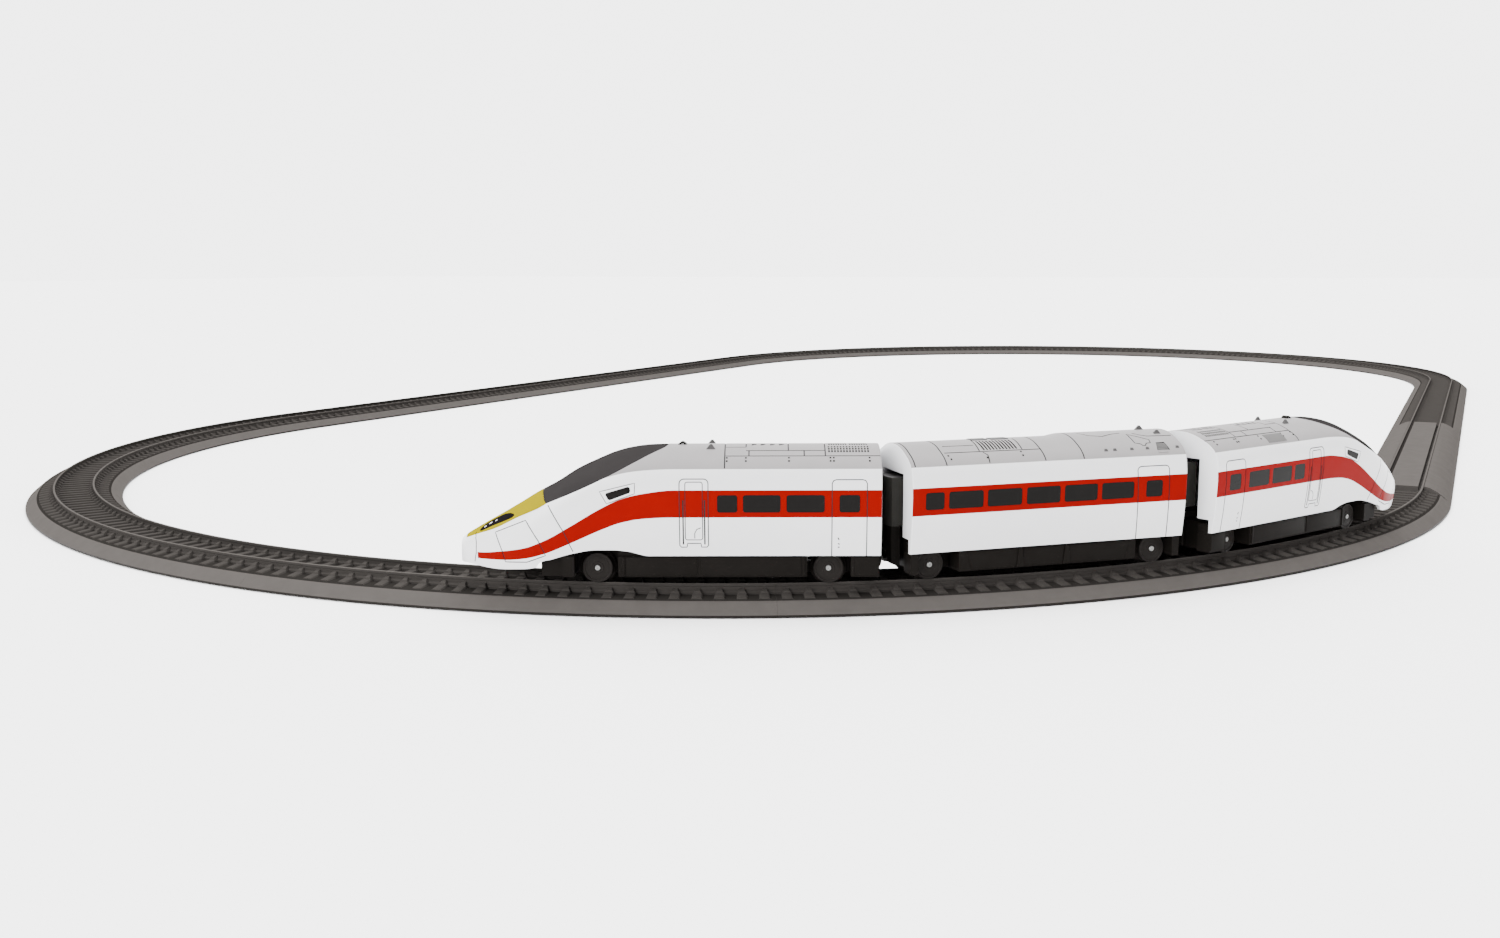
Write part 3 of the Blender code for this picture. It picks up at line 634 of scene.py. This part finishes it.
def skin(hull, stations, levels, zone, rows, nose, ends, keep=None, clear=0.0):
    """Closed shell between the hull's surface and an inset copy of it.

    stations are (x, inset); nose is the x behind which the inside starts, or None; ends are
    the x of flat gangway ends; keep picks zones, and clear trims the windscreen's edge."""
    outer, inner, faces = [], [], []
    lo = min(x for x, _ in stations)
    hi = max(x for x, _ in stations)
    in_lo = nose if nose is not None else (lo + END_WALL if lo in ends else lo)
    in_hi = hi - END_WALL if hi in ends else hi
    width = 2 * sum(rows) + 1
    slots = {"white": 0, "red": 1, "yellow": 2, "roof": 3, "screen": 0}

    def ring(x):
        marks = levels(x)
        if clear:
            marks = marks[:4] + [min(1, marks[4] + clear)] + marks[5:]
        ts = []
        for (a, b), n in zip(zip(marks, marks[1:]), rows):
            ts += [a + (b - a) * k / n for k in range(n)]
        return ts + [1.0] + [2 - t for t in ts[::-1]]

    for x, inset in stations:
        for s in ring(x):
            p = hull.section(x, s)
            if inset:
                p = p - Vector((0, *hull.normal(x, s).yz)) * inset
            outer.append(p)
        inside_x = min(max(x, in_lo), in_hi)
        inner += [hull.section(inside_x, s, WALL) for s in ring(inside_x)]
    group = [g for g, n in enumerate(rows) for _ in range(n)]
    group += group[::-1]
    for i in range(len(stations) - 1):
        mid = (stations[i][0] + stations[i + 1][0]) / 2
        for k in range(width - 1):
            name = zone(mid, group[k])
            if (name == "screen") != (keep == "screen"):
                continue
            a = i * width + k
            faces.append(((a, a + 1, a + width + 1, a + width), slots[name]))
    if nose is not None and keep != "screen":
        faces.append((tuple(range(width)), 0))
    for x in ends:
        sign = 1 if x > 0 else -1
        half = [(SILL_W, BODY_Z), (SILL_W, GANG_Z0), (GANG_W, GANG_Z0), (GANG_W, GANG_Z1)]
        arch = [(-y, z) for y, z in half] + half[::-1]
        base = (len(stations) - 1) * width if sign > 0 else 0
        first = len(outer)
        outer += [Vector((x, y, z)) for y, z in arch]
        inner += [Vector((x - sign * END_WALL, y, z)) for y, z in arch]
        last = first + len(arch)
        faces.append((tuple(range(base, base + width)) + tuple(range(first, last)), 0))
    edges = {}
    for f, slot in faces:
        for a, b in zip(f, f[1:] + f[:1]):
            if (outer[a] - outer[b]).length > 1e-4:
                key = tuple(sorted((a, b)))
                edges[key] = edges.get(key, []) + [slot]
    shift = len(outer)
    rim = [((a, b, b + shift, a + shift), s[0]) for (a, b), s in edges.items() if len(s) == 1]
    back = [(tuple(i + shift for i in f[::-1]), 0) for f, _ in faces]
    return outer + inner, faces + back + rim


# ================================================================== inlays and grooves
def gridded(outline, step):
    """Flat bmesh of an outline, cut into a grid."""
    bm = bmesh.new()
    bm.faces.new([bm.verts.new((a, b, 0)) for a, b in outline])
    for axis in (0, 1):
        values = [p[axis] for p in outline]
        n = int((max(values) - min(values)) / step)
        for k in range(1, n + 1):
            at = [0, 0, 0]
            at[axis] = min(values) + (max(values) - min(values)) * k / (n + 1)
            no = [0, 0, 0]
            no[axis] = 1
            bmesh.ops.bisect_plane(bm, geom=bm.verts[:] + bm.edges[:] + bm.faces[:],
                                   plane_co=at, plane_no=no, dist=1e-5)
    return bm


def inlay(part, hull, outline, view, d0, d1, slot=0, step=1.6):
    """Slab that follows the hull between offsets d0 and d1. The outline is in side view
    (x, z) with view +1 or -1 for the side, or in top view (x, y) with view "top"."""
    bm = gridded(outline, step)
    where = hull.top if view == "top" else lambda x, z: hull.side(x, z, view)
    spots = [(v.co.x, where(v.co.x, v.co.y)) for v in bm.verts]
    bm.verts.index_update()
    count = len(spots)
    points = [hull.point(x, s, d) for d in (d0, d1) for x, s in spots]
    faces = []
    for f in bm.faces:
        idx = tuple(v.index for v in f.verts)
        faces += [idx, tuple(i + count for i in idx[::-1])]
    for e in bm.edges:
        if len(e.link_faces) == 1:
            a, b = (v.index for v in e.verts)
            faces.append((a, b, b + count, a + count))
    bm.free()
    part.add(points, faces, slot)


def rounded(x0, x1, z0, z1, r, steps=4):
    """Rectangle with rounded corners, as points round."""
    out = []
    for cx, cz, a0 in ((x1 - r, z1 - r, 0), (x0 + r, z1 - r, 90), (x0 + r, z0 + r, 180),
                       (x1 - r, z0 + r, 270)):
        for k in range(steps + 1):
            a = math.radians(a0 + 90 * k / steps)
            out.append((cx + r * math.cos(a), cz + r * math.sin(a)))
    return out


def dense(points, step=1.2, closed=False):
    out = []
    ends = points[1:] + points[:1] if closed else points[1:]
    for a, b in zip(points, ends):
        n = max(1, math.ceil(math.dist(a, b) / step))
        out += [tuple(p + (q - p) * k / n for p, q in zip(a, b)) for k in range(n)]
    return out if closed else out + [points[-1]]


def mirrored(points, side):
    """Top-view outline on one side of the car."""
    return [(x, side * y) for x, y in points]


def oblong(x0, x1, y0, y1, side):
    """Top-view rectangle on one side of the car."""
    return mirrored([(x0, y0), (x1, y0), (x1, y1), (x0, y1)], side)


def oval(x, y, rx, ry, count):
    turns = np.linspace(0, 2 * math.pi, count, endpoint=False)
    return [(x + rx * math.cos(a), y + ry * math.sin(a)) for a in turns]


def bolt(part, hull, x, y):
    """Dark bolt head on the roof."""
    inlay(part, hull, oval(x, y, 0.34, 0.3, 8), "top", -0.15, 0.12, 2, 3)


def groove(part, hull, points, view, width, slot, closed=False):
    """Rectangular bar along a line on the hull, as a cutter."""
    low, high = -0.22, 0.35
    where = {"top": hull.top, "s": lambda x, s: s}.get(view, lambda x, z: hull.side(x, z, view))
    step = 1.2 if view != "s" else 0.03
    line = dense(points, step, closed)
    spots = [(x, where(x, v)) for x, v in line]
    base = [hull.point(x, s) for x, s in spots]
    rings = []
    count = len(base)
    for i, (x, s) in enumerate(spots):
        before = base[i - 1] if closed or i else base[0]
        after = base[(i + 1) % count] if closed or i < count - 1 else base[-1]
        normal = hull.normal(x, s)
        across = (after - before).cross(normal).normalized() * width / 2
        rings.append([base[i] + across + normal * low, base[i] - across + normal * low,
                      base[i] - across + normal * high, base[i] + across + normal * high])
    part.tube(rings, slot, closed)


def carve(ob, cutters, mats, axes):
    """Subtracts each gathered cutter from ob; cut faces take the cutter's material."""
    for part in cutters:
        bm = part.solid()
        bmesh.ops.transform(bm, verts=bm.verts, matrix=axes @ Matrix.Scale(MM, 4))
        mesh = bpy.data.meshes.new("cutter")
        bm.to_mesh(mesh)
        bm.free()
        for m in mats:
            mesh.materials.append(MATS[m])
        tool = bpy.data.objects.new("cutter", mesh)
        bpy.context.collection.objects.link(tool)
        step = ob.modifiers.new("carve", "BOOLEAN")
        step.operation, step.solver, step.object = "DIFFERENCE", "EXACT", tool
        step.material_mode = "TRANSFER"
        apply_modifiers(ob)
        bpy.data.objects.remove(tool, do_unlink=True)
        bpy.data.meshes.remove(mesh)


# ================================================================== car frames
COUPLER_X = 47.0                                            # coupler pin of a head car


def car_axes(name):
    """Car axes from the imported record: wheelset and coupler joints give place and heading."""
    front = Vector(JOINTS[name + "_wheelset_front_spin"]["pos_m"])
    rear = Vector(JOINTS[name + "_wheelset_rear_spin"]["pos_m"])
    axle = Vector(JOINTS[name + "_wheelset_front_spin"]["axis"])
    ahead = Vector((-axle.y, axle.x, 0))
    if ahead.dot(rear - front) < 0:
        ahead = -ahead
    if name == "middle":
        a = Vector(JOINTS["middle_coupler_front_swing"]["pos_m"])
        b = Vector(JOINTS["middle_coupler_rear_swing"]["pos_m"])
        centre = (a + b) / 2
    else:
        centre = Vector(JOINTS[name + "_coupler_swing"]["pos_m"]) - ahead * COUPLER_X * MM
    centre.z = 0
    turn = Matrix.Rotation(math.atan2(ahead.y, ahead.x), 4, "Z")
    return Matrix.Translation(centre) @ turn


AXES = {name: car_axes(name) for name in ("power", "middle", "tail")}
SHELL_MATS = ["white", "red", "yellow", "roof", "line", "roof_shade"]
DETAIL_MATS = ["roof", "vent", "black", "lamp", "hatch"]
RED, LINE, ROOF_SHADE = 1, 4, 5                              # slots in SHELL_MATS
GLASS_TOP = -0.06
ROOF_GAP = 0.4                                              # width of the roof's seams


def window(cutter, panes, hull, x0, x1, side):
    """Passenger window between two x: a recess and the pane set in it."""
    inlay(cutter, hull, rounded(x0, x1, 33.75, 39.6, 0.85), side, -0.35, 0.5, RED)
    pane = rounded(x0 + 0.04, x1 - 0.04, 33.79, 39.56, 0.82)
    inlay(panes, hull, pane, side, -0.45, GLASS_TOP)


def head_car(name, hood):
    axes, body = AXES[name], name + "_car"
    stations = [(x, 0) for x in [NOSE, NOSE + 0.2, NOSE + 0.45] + spread(-85.5, YELLOW_TIP, 0.4)
                + [YELLOW_TIP, YELLOW_TIP + 0.15] + spread(YELLOW_TIP + 0.3, STRIPE_X, 0.8)
                + spread(STRIPE_X, SCREEN_X0, 1.0) + spread(SCREEN_X0, SCREEN_X1, 0.3)
                + spread(SCREEN_X1, ROOF_X, 1.2) + spread(ROOF_X, SCREEN_X2, 1.2)
                + spread(SCREEN_X2, -8, 1.1) + spread(-8, HEAD_END - EDGE_R - 0.4, 3.0)]
    stations += [(HEAD_END - EDGE_R - 0.3, 0)] + rounded_end(HEAD_END, 1)
    rows = [9, 6, 5, 7, 9]
    zone = head_zone
    if not hood:
        zone = lambda x, g: head_zone(x, g).replace("yellow", "white")
    points, faces = skin(HEAD, stations, head_levels, zone, rows, NOSE + 3.6, [HEAD_END])
    shell = make(name + "_shell", points, faces, SHELL_MATS, body, axes, 40,
                 replaces=(name + "_body_shell",))
    screen_at = [p for p in stations if SCREEN_X0 <= p[0] <= SCREEN_X2]
    points, faces = skin(HEAD, screen_at, head_levels, head_zone, rows, None, [], "screen",
                         0.004)
    make(name + "_screen", points, faces, ["screen"], body, axes, 40,
         replaces=(name + "_windscreen",))

    seams, rings, panes, raised, lamps = Mesh(), Mesh(), Mesh(), Mesh(), Mesh()
    for side in (1, -1):
        line = lambda pts, closed=False, w=0.34: groove(seams, HEAD, pts, side, w, LINE, closed)
        # passenger windows, cab window and headlamp
        for x0, x1 in ((1.7, 8.4), (10.2, 22.6), (24.5, 37.1), (41.9, 48.7)):
            window(seams, panes, HEAD, x0, x1, side)
        cab = [(-35.2, 40.2), (-33.9, 37.8), (-26.6, 40.5), (-27.0, 42.6)]
        inlay(seams, HEAD, softened(cab, 0.5), side, -0.35, 0.5, LINE)
        inlay(panes, HEAD, softened(cab, 0.55, 0.05), side, -0.45, GLASS_TOP)
        line([(-36.9, 40.8), (-34.6, 36.8), (-25.4, 40.1), (-25.3, 43.6)], True, w=0.26)
        lamp = softened([(-78.5, side * 6.6), (-79.1, side * 5.0), (-77.1, side * 2.9),
                         (-73.6, side * 2.9), (-70.7, side * 4.0), (-68.2, side * 6.6),
                         (-66.2, side * 9.8), (-66.2, side * 11.0), (-68.4, side * 10.4),
                         (-73.4, side * 8.3), (-76.4, side * 7.4)], 0.6)
        inlay(seams, HEAD, lamp, "top", -0.5, 0.6, LINE, 1.0)
        inlay(lamps, HEAD, softened(lamp, 0.01, 0.06), "top", -0.6, -0.08, 0, 1.0)
        for x, y, r in ((-77.0, 5.2, 0.45), (-75.2, 5.0, 0.55), (-73.2, 5.6, 0.4)):
            disc = oval(x, side * y, r, r * 0.8, 14)
            inlay(lamps, HEAD, disc, "top", -0.3, -0.02, 1, 2.0)
        # bumper line, nose panel, hood joint, cab door, rear door
        line([(-80.1, 25.2), (-79.7, 22.0), (-79.9, 18.6), (-80.6, 15.4)])
        line([(-72.6, 26.3), (-61.8, 30.9), (-57.7, 24.2), (-55.4, 19.0), (-61.8, 16.6),
              (-69.3, 16.3), (-70.3, 20.0)], True)
        line([(-54.2, 36.2), (-51.8, 32.1), (-49.0, 27.1), (-47.4, 23.2), (-46.2, 20.4)])
        line(rounded(-10.7, -1.2, 22.6, 44.9, 1.5)[:10] + [(-10.7, 22.6), (-10.2, 22.0),
             (-8.3, 22.0), (-8.1, 23.3), (-3.7, 23.3), (-3.5, 22.0), (-1.7, 22.0),
             (-1.2, 22.6)], True)
        line(rounded(-8.8, -3.1, 24.5, 43.9, 0.7), True, w=0.3)
        line([(-9.5, 38.0), (-9.5, 22.9)], w=0.5)
        line([(-2.4, 38.0), (-2.4, 22.9)], w=0.5)
        line([(-5.7, 25.0), (-5.7, 26.8), (-5.0, 28.1), (-3.7, 28.6)], w=0.3)
        line([(39.5, 18.4), (39.5, 43.4), (40.0, 44.3), (40.9, 44.6), (49.6, 44.6),
              (50.5, 44.3), (51.0, 43.4), (51.0, 18.4)])
        line([(41.5, 25.2), (41.9, 24.4)], w=0.4)
        line([(41.5, 23.2), (42.1, 22.9)], w=0.4)
        line([(41.5, 21.9), (42.1, 21.9)], w=0.4)
        # roof lines: grooves whose cut faces take the near-black roof shade, painted shade in the
        # seams
        top = lambda pts, part=seams: groove(part, HEAD, mirrored(pts, side), "top", ROOF_GAP,
                                             ROOF_SHADE)
        top([(4.5, 10.5), (HEAD_END + 0.5, 10.5)])
        top([(4.5, 4.8), (11.2, 4.8)])
        top([(11.2, 7.4), (37.3, 7.4)])
        for x, y0, y1 in ((11.2, 4.6, 0.9), (12.2, 10.3, 7.6), (25.3, 7.2, 0.9),
                          (30.5, 10.3, 7.6), (37.5, 10.3, 0.9)):
            top([(x, y0), (x, y1)], rings)
        for x in (4.9, 11.2, 25.4, 39.1, 40.2, 52.0):
            for y in (11.5, 12.9):
                bolt(raised, HEAD, x, side * y)
        # louvres, ventilation grid and filler bars
        for x in (13.0, 16.0, 19.2, 22.2):
            flap = mirrored([(x, 0.9), (x + 1.9, 0.9), (x + 1.4, 2.0), (x + 0.1, 2.9)], side)
            inlay(rings, HEAD, flap, "top", -0.4, 0.5, ROOF_SHADE, 3)
        for k in range(14):
            for y in (4.6, 6.3, 7.9):
                slit = oblong(38.5 + k, 39.1 + k, y - 0.58, y + 0.58, side)
                inlay(rings, HEAD, slit, "top", -0.35, 0.5, ROOF_SHADE, 3)
        for x0, x1 in ((38.8, 44.9), (45.8, 51.8)):
            inlay(rings, HEAD, oblong(x0, x1, 0.5, 2.3, side), "top", -0.35, 0.5, ROOF_SHADE, 3)
            for k in range(7):
                x = x0 + 0.55 + k * 0.8
                inlay(raised, HEAD, oblong(x, x + 0.3, 0.45, 2.35, side), "top", -0.5, -0.05, 0,
                      3)
        fin(raised, HEAD, -0.6, side * 6.0, 3.4, 1.2, 1.5)
    if not hood:
        patch = oblong(11.4, 22.6, 11.3, 14.6, 1)
        inlay(raised, HEAD, patch, "top", -0.3, 0.12, 4, 1.6)
    seam_ring(rings, HEAD, 4.2)
    horn(raised)
    carve(shell, (seams, rings), SHELL_MATS, axes)
    settle(shell)
    make(name + "_windows", panes.points, panes.faces, ["glass"], body, axes, 25)
    make(name + "_headlamps", lamps.points, lamps.faces, ["lens", "lamp"], body, axes, 25)
    make(name + "_roof_details", raised.points, raised.faces, DETAIL_MATS, body, axes, 25)


def softened(points, r, shrink=0.0):
    """Polygon with cut corners of size r, shrunk a little toward its centre."""
    cx = sum(p[0] for p in points) / len(points)
    cy = sum(p[1] for p in points) / len(points)
    out = []
    for i, p in enumerate(points):
        for q in (points[i - 1], points[(i + 1) % len(points)]):
            d = math.dist(p, q)
            k = min(r / d, 0.45) if d else 0
            out.append((p[0] + (q[0] - p[0]) * k, p[1] + (q[1] - p[1]) * k))
    if shrink:
        out = [(x - shrink * np.sign(x - cx), y - shrink * np.sign(y - cy)) for x, y in out]
    return out


def seam_ring(part, hull, x):
    """Groove over the roof at x, from its lower edge on one side to the other."""
    t = hull.t_at_height(x, 48.15)
    groove(part, hull, [(x, t), (x, 2 - t)], "s", 0.42, ROOF_SHADE)


def fin(part, hull, x, y, length, thick, height):
    """Small triangular aerial, standing up from the roof at (x, y)."""
    base = hull.point(x, hull.top(x, y), -0.3)
    h = length / 2
    lower = [(-h, -thick / 2), (h, -thick / 2), (h, thick / 2), (-h, thick / 2)]
    upper = [(-0.25, -0.2), (0.45, -0.2), (0.45, 0.2), (-0.25, 0.2)]
    part.block([base + Vector((a, b, 0)) for a, b in lower]
               + [base + Vector((a, b, height + 0.3)) for a, b in upper], 1)


def horn(part):
    """Black arch with a light opening on the crest behind the windscreen."""
    z = HEAD.roof(-10.3) - 0.15
    arch = [(-12.0, 0), (-11.1, 0.75), (-10.3, 1.15), (-9.5, 0.75), (-8.6, 0), (-9.6, 0),
            (-9.9, 0.45), (-10.3, 0.6), (-10.7, 0.45), (-11.0, 0)]
    part.tube([[(x, y, z + h) for x, h in arch] for y in (-1.3, 1.3)], 2)
    part.box(-10.8, -9.8, -0.9, 0.9, z - 0.1, z + 0.4, 3)


def settle(ob):
    """Shading of a carved shell: flat faces keep their look beside the cuts."""
    ob.data.shade_smooth()
    ob.data.set_sharp_from_angle(angle=math.radians(35))
    weight = ob.modifiers.new("normals", "WEIGHTED_NORMAL")
    weight.keep_sharp = True
    weight.weight = 60


def middle_car():
    axes, body = AXES["middle"], "middle_car"
    inside = spread(-MID_END + EDGE_R + 0.3, 5.8, 3.2) + spread(5.8, 12.2, 0.8)
    inside += spread(12.2, MID_END - EDGE_R, 3.2)
    stations = rounded_end(-MID_END, -1) + [(x, 0) for x in inside] + rounded_end(MID_END, 1)
    points, faces = skin(MID, stations, mid_levels, mid_zone, [9, 6, 5, 15], None,
                         [-MID_END, MID_END])
    shell = make("middle_shell", points, faces, SHELL_MATS, body, axes, 40,
                 replaces=("middle_body_shell",))
    seams, rings, panes, raised = Mesh(), Mesh(), Mesh(), Mesh()
    for side in (1, -1):
        for x0, x1 in ((-47.6, -40.8), (-39.2, -26.5), (-25.0, -12.1), (-10.4, 2.4),
                       (4.0, 16.8), (18.4, 31.1), (35.9, 42.5)):
            window(seams, panes, MID, x0, x1, side)
        groove(seams, MID, [(33.4, 18.4), (32.4, 43.4), (32.9, 44.3), (33.8, 44.6),
                            (43.6, 44.6), (44.5, 44.3), (45.0, 43.4), (45.6, 18.4)], side,
               0.34, LINE)
        top = lambda pts, part=seams: groove(part, MID, mirrored(pts, side), "top", ROOF_GAP,
                                             ROOF_SHADE)
        # long seams, grille and access plates
        top([(-38.4, 10.5), (-2.2, 10.7)])
        top([(-37.4, 6.6), (-25.9, 6.7)])
        top([(-25.3, 10.3), (-24.4, 1.6)], rings)
        top([(-9.3, 10.3), (-8.6, 1.6)], rings)
        top([(-23.6, 14.9), (-23.2, 12.4), (-24.4, 10.9)], rings)
        for k in range(11):
            x = -23.6 + k * 1.22
            slat = oblong(x, x + 0.62, 3.2, 9.9, side)
            inlay(rings, MID, slat, "top", -0.4, 0.5, ROOF_SHADE, 2.5)
        for x0, x1 in ((-24.2, -18.2), (-16.8, -10.2)):
            inlay(raised, MID, oblong(x0, x1, 0.3, 1.9, side), "top", -0.2, 0.22, 1, 3)
        for x, y in ((-37.1, 13.4), (-37.6, 12.0), (-23.8, 13.4), (-10.4, 13.2), (-10.4, 11.6)):
            bolt(raised, MID, x, side * y)
        plate = [(34.2, 5.2), (34.2, 11.1), (36.0, 11.6), (36.7, 12.5), (37.6, 12.5),
                 (38.6, 11.4), (40.3, 11.3), (40.7, 9.6), (36.0, 6.7)]
        groove(rings, MID, mirrored(plate, side), "top", 0.36, ROOF_SHADE, True)
        top([(16.6, 1.6), (19.2, 5.0), (24.1, 6.3), (26.3, 5.4), (29.6, 4.3), (32.4, 4.0)])
        top([(36.8, 4.6), (38.8, 6.3), (41.3, 7.4), (51.0, 7.6)])
        hatch = [(42.4, 11.3), (45.8, 11.2), (46.3, 14.4), (41.3, 14.3)]
        inlay(rings, MID, mirrored(hatch, side), "top", -0.45, 0.5, ROOF_SHADE, 2)
        for k in range(6):
            y = 11.6 + k * 0.5
            louvre = oblong(41.6 + 0.7 * (14.4 - y) / 3, 46.0, y, y + 0.36, side)
            inlay(raised, MID, louvre, "top", -0.5, -0.08, 4, 3)
        sill = oblong(41.4, 45.4, 14.65, 14.95, side)
        inlay(raised, MID, sill, "top", -0.15, 0.25, 0, 3)
        for x in (21.2, 24.7, 31.4, 37.6, 49.6):
            fin(raised, MID, x, side * 13.7, 1.5, 1.0, 0.5)
    for x in (-50.8, -39.4, -2.6, 11.9):
        seam_ring(rings, MID, x)
    fin(raised, MID, 43.2, 0.9, 3.6, 1.2, 1.5)
    fin(raised, MID, 46.4, -5.6, 3.0, 1.2, 1.2)
    carve(shell, (seams, rings), SHELL_MATS, axes)
    settle(shell)
    make("middle_windows", panes.points, panes.faces, ["glass"], body, axes, 25)
    make("middle_roof_details", raised.points, raised.faces, DETAIL_MATS, body, axes, 25)


# ================================================================== running gear
def joint_axes(joint):
    turn = Vector((0, 0, 1)).rotation_difference(Vector(joint["axis"])).to_matrix().to_4x4()
    return Matrix.Translation(Vector(joint["pos_m"])) @ turn


def wheel(name, joint, side_node, body):
    """Wheel with flange, tapered tread, rim groove, dished face and hub."""
    lo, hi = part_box(side_node)
    outward = (lo + hi) / 2 - Vector(joint["pos_m"])
    sign = 1 if outward.dot(Vector(joint["axis"])) > 0 else -1
    profile = [(1.0, 6.9), (3.2, 6.9), (3.4, 6.7), (5.7, 6.7), (6.0, 6.8), (6.1, 7.0),
               (6.0, 7.2), (5.45, 7.5), (5.25, 7.7), (5.15, 7.9), (5.06, 10.0), (4.94, 10.2),
               (4.35, 10.2), (4.25, 10.05), (4.1, 10.0), (3.95, 10.05), (2.1, 10.05),
               (1.95, 10.18), (1.35, 10.2), (1.0, 10.15)]
    bm = lathe([(r, sign * d) for r, d in profile])
    finish_mesh(name, bm, ["wheel"], body, joint_axes(joint), 35, replaces=(side_node,))


def axle(name, joint, node, body):
    """Turned axle with chamfered ends and centre dimples."""
    half = [(0, 10.35), (0.22, 10.42), (0.3, 10.6), (0.78, 10.6), (0.95, 10.45), (0.98, 6.0)]
    profile = half + [(r, -s) for r, s in half[::-1]]
    finish_mesh(name, lathe(profile, 32), ["steel"], body, joint_axes(joint), 35,
                replaces=(node,))


def skirt_panel(part, outline, y0, y1):
    """Raised panel on the chassis side: side-view outline between two offsets."""
    for side in (1, -1):
        part.tube([[(x, side * y, z) for x, z in outline] for y in (y0, y1)])


def chassis_details(name, panels, ribs):
    """Raised panels and ribs on both sides of a car's chassis."""
    part = Mesh()
    for outline in panels:
        skirt_panel(part, outline, 14.05, 14.45)
    for outline in ribs:
        skirt_panel(part, outline, 14.1, 14.75)
    finish_mesh(name + "_underframe_panels", part.solid(), ["black"], name + "_car", AXES[name],
                25, 0.12)


def box_outline(x0, x1, z0, z1, lean0=0.0, lean1=0.0):
    return [(x0 + lean0, z0), (x1 - lean1, z0), (x1, z1), (x0, z1)]


def running_gear():
    for name in ("power", "middle", "tail"):
        for end in ("front", "rear"):
            body = "%s_wheelset_%s" % (name, end)
            joint = JOINTS[body + "_spin"]
            for side in ("left", "right"):
                node = "%s_wheel_%s_%s" % (name, end, side)
                wheel(node.replace("wheel", "rim"), joint, node, body)
            axle("%s_shaft_%s" % (name, end), joint, "%s_axle_%s" % (name, end), body)
    for name in ("power", "tail"):
        chassis_details(name, [box_outline(-29.0, -5.0, 12.2, 18.2),
                               box_outline(-3.6, 29.6, 12.2, 18.2),
                               box_outline(47.2, 55.0, 12.2, 18.2)],
                        [box_outline(-29.9, -29.1, 11.9, 18.4),
                         box_outline(29.8, 30.6, 11.9, 18.4)])
    chassis_details("middle", [box_outline(-31.0, -12.1, 12.2, 18.2, 1.6, 0.3),
                               box_outline(-10.0, 5.6, 12.2, 18.2, 0.3, 0.3),
                               box_outline(7.7, 31.0, 12.2, 18.2, 0.3, 1.6)],
                    [box_outline(-11.7, -10.5, 11.8, 18.4, -0.9, -0.9),
                     box_outline(6.1, 7.3, 11.8, 18.4, -0.9, -0.9)])


def coupler_block(name):
    """Gangway block and coupler head with softened edges, over the CAD coupler's outline.
    The coupler's body has the node's name."""
    bm = bmesh.new()
    bm.from_mesh(frame["nodes"][name].data)
    bmesh.ops.scale(bm, verts=bm.verts, vec=(1 / MM,) * 3)
    bmesh.ops.remove_doubles(bm, verts=bm.verts, dist=0.01)
    bmesh.ops.dissolve_limit(bm, angle_limit=math.radians(2), verts=bm.verts, edges=bm.edges)
    split, highlight_z = 26.5, 43
    bmesh.ops.bisect_plane(bm, geom=bm.verts[:] + bm.edges[:] + bm.faces[:],
                           plane_co=(0, 0, split), plane_no=(0, 0, 1), dist=1e-4)
    # Faces below the split are chassis black and those above it gangway grey; faces above
    # highlight_z, the block's top, take the lighter vent grey as a painted highlight.
    for f in bm.faces:
        z = f.calc_center_median().z
        f.material_index = 2 if z > highlight_z else 1 if z > split else 0
    finish_mesh(name + "_block", bm, ["black", "gangway", "vent"], name, None, 30, 0.22, (name,))


NODE_LOOKS = [("battery_door", "black"), ("chassis", "black"), ("battery", "cell"),
              ("worm", "brass"), ("motor", "can"), ("drive_gear", "nylon"),
              ("circuit_board", "board"), ("magnet", "nickel")]


def dress_cad():
    """Pieces whose CAD shape is right keep it and get a finish."""
    for name, ob in frame["nodes"].items():
        for key, look in NODE_LOOKS:
            if key in name:
                ob.data.materials.clear()
                ob.data.materials.append(MATS[look])
                break


# ================================================================== build
set_camera()
set_stage()
for track_node in sorted(n for n in frame["nodes"] if n.startswith("track_")):
    track_piece(track_node)
head_car("power", True)
head_car("tail", False)
middle_car()
running_gear()
for coupler in ("power_coupler", "middle_coupler_front", "middle_coupler_rear", "tail_coupler"):
    coupler_block(coupler)
dress_cad()
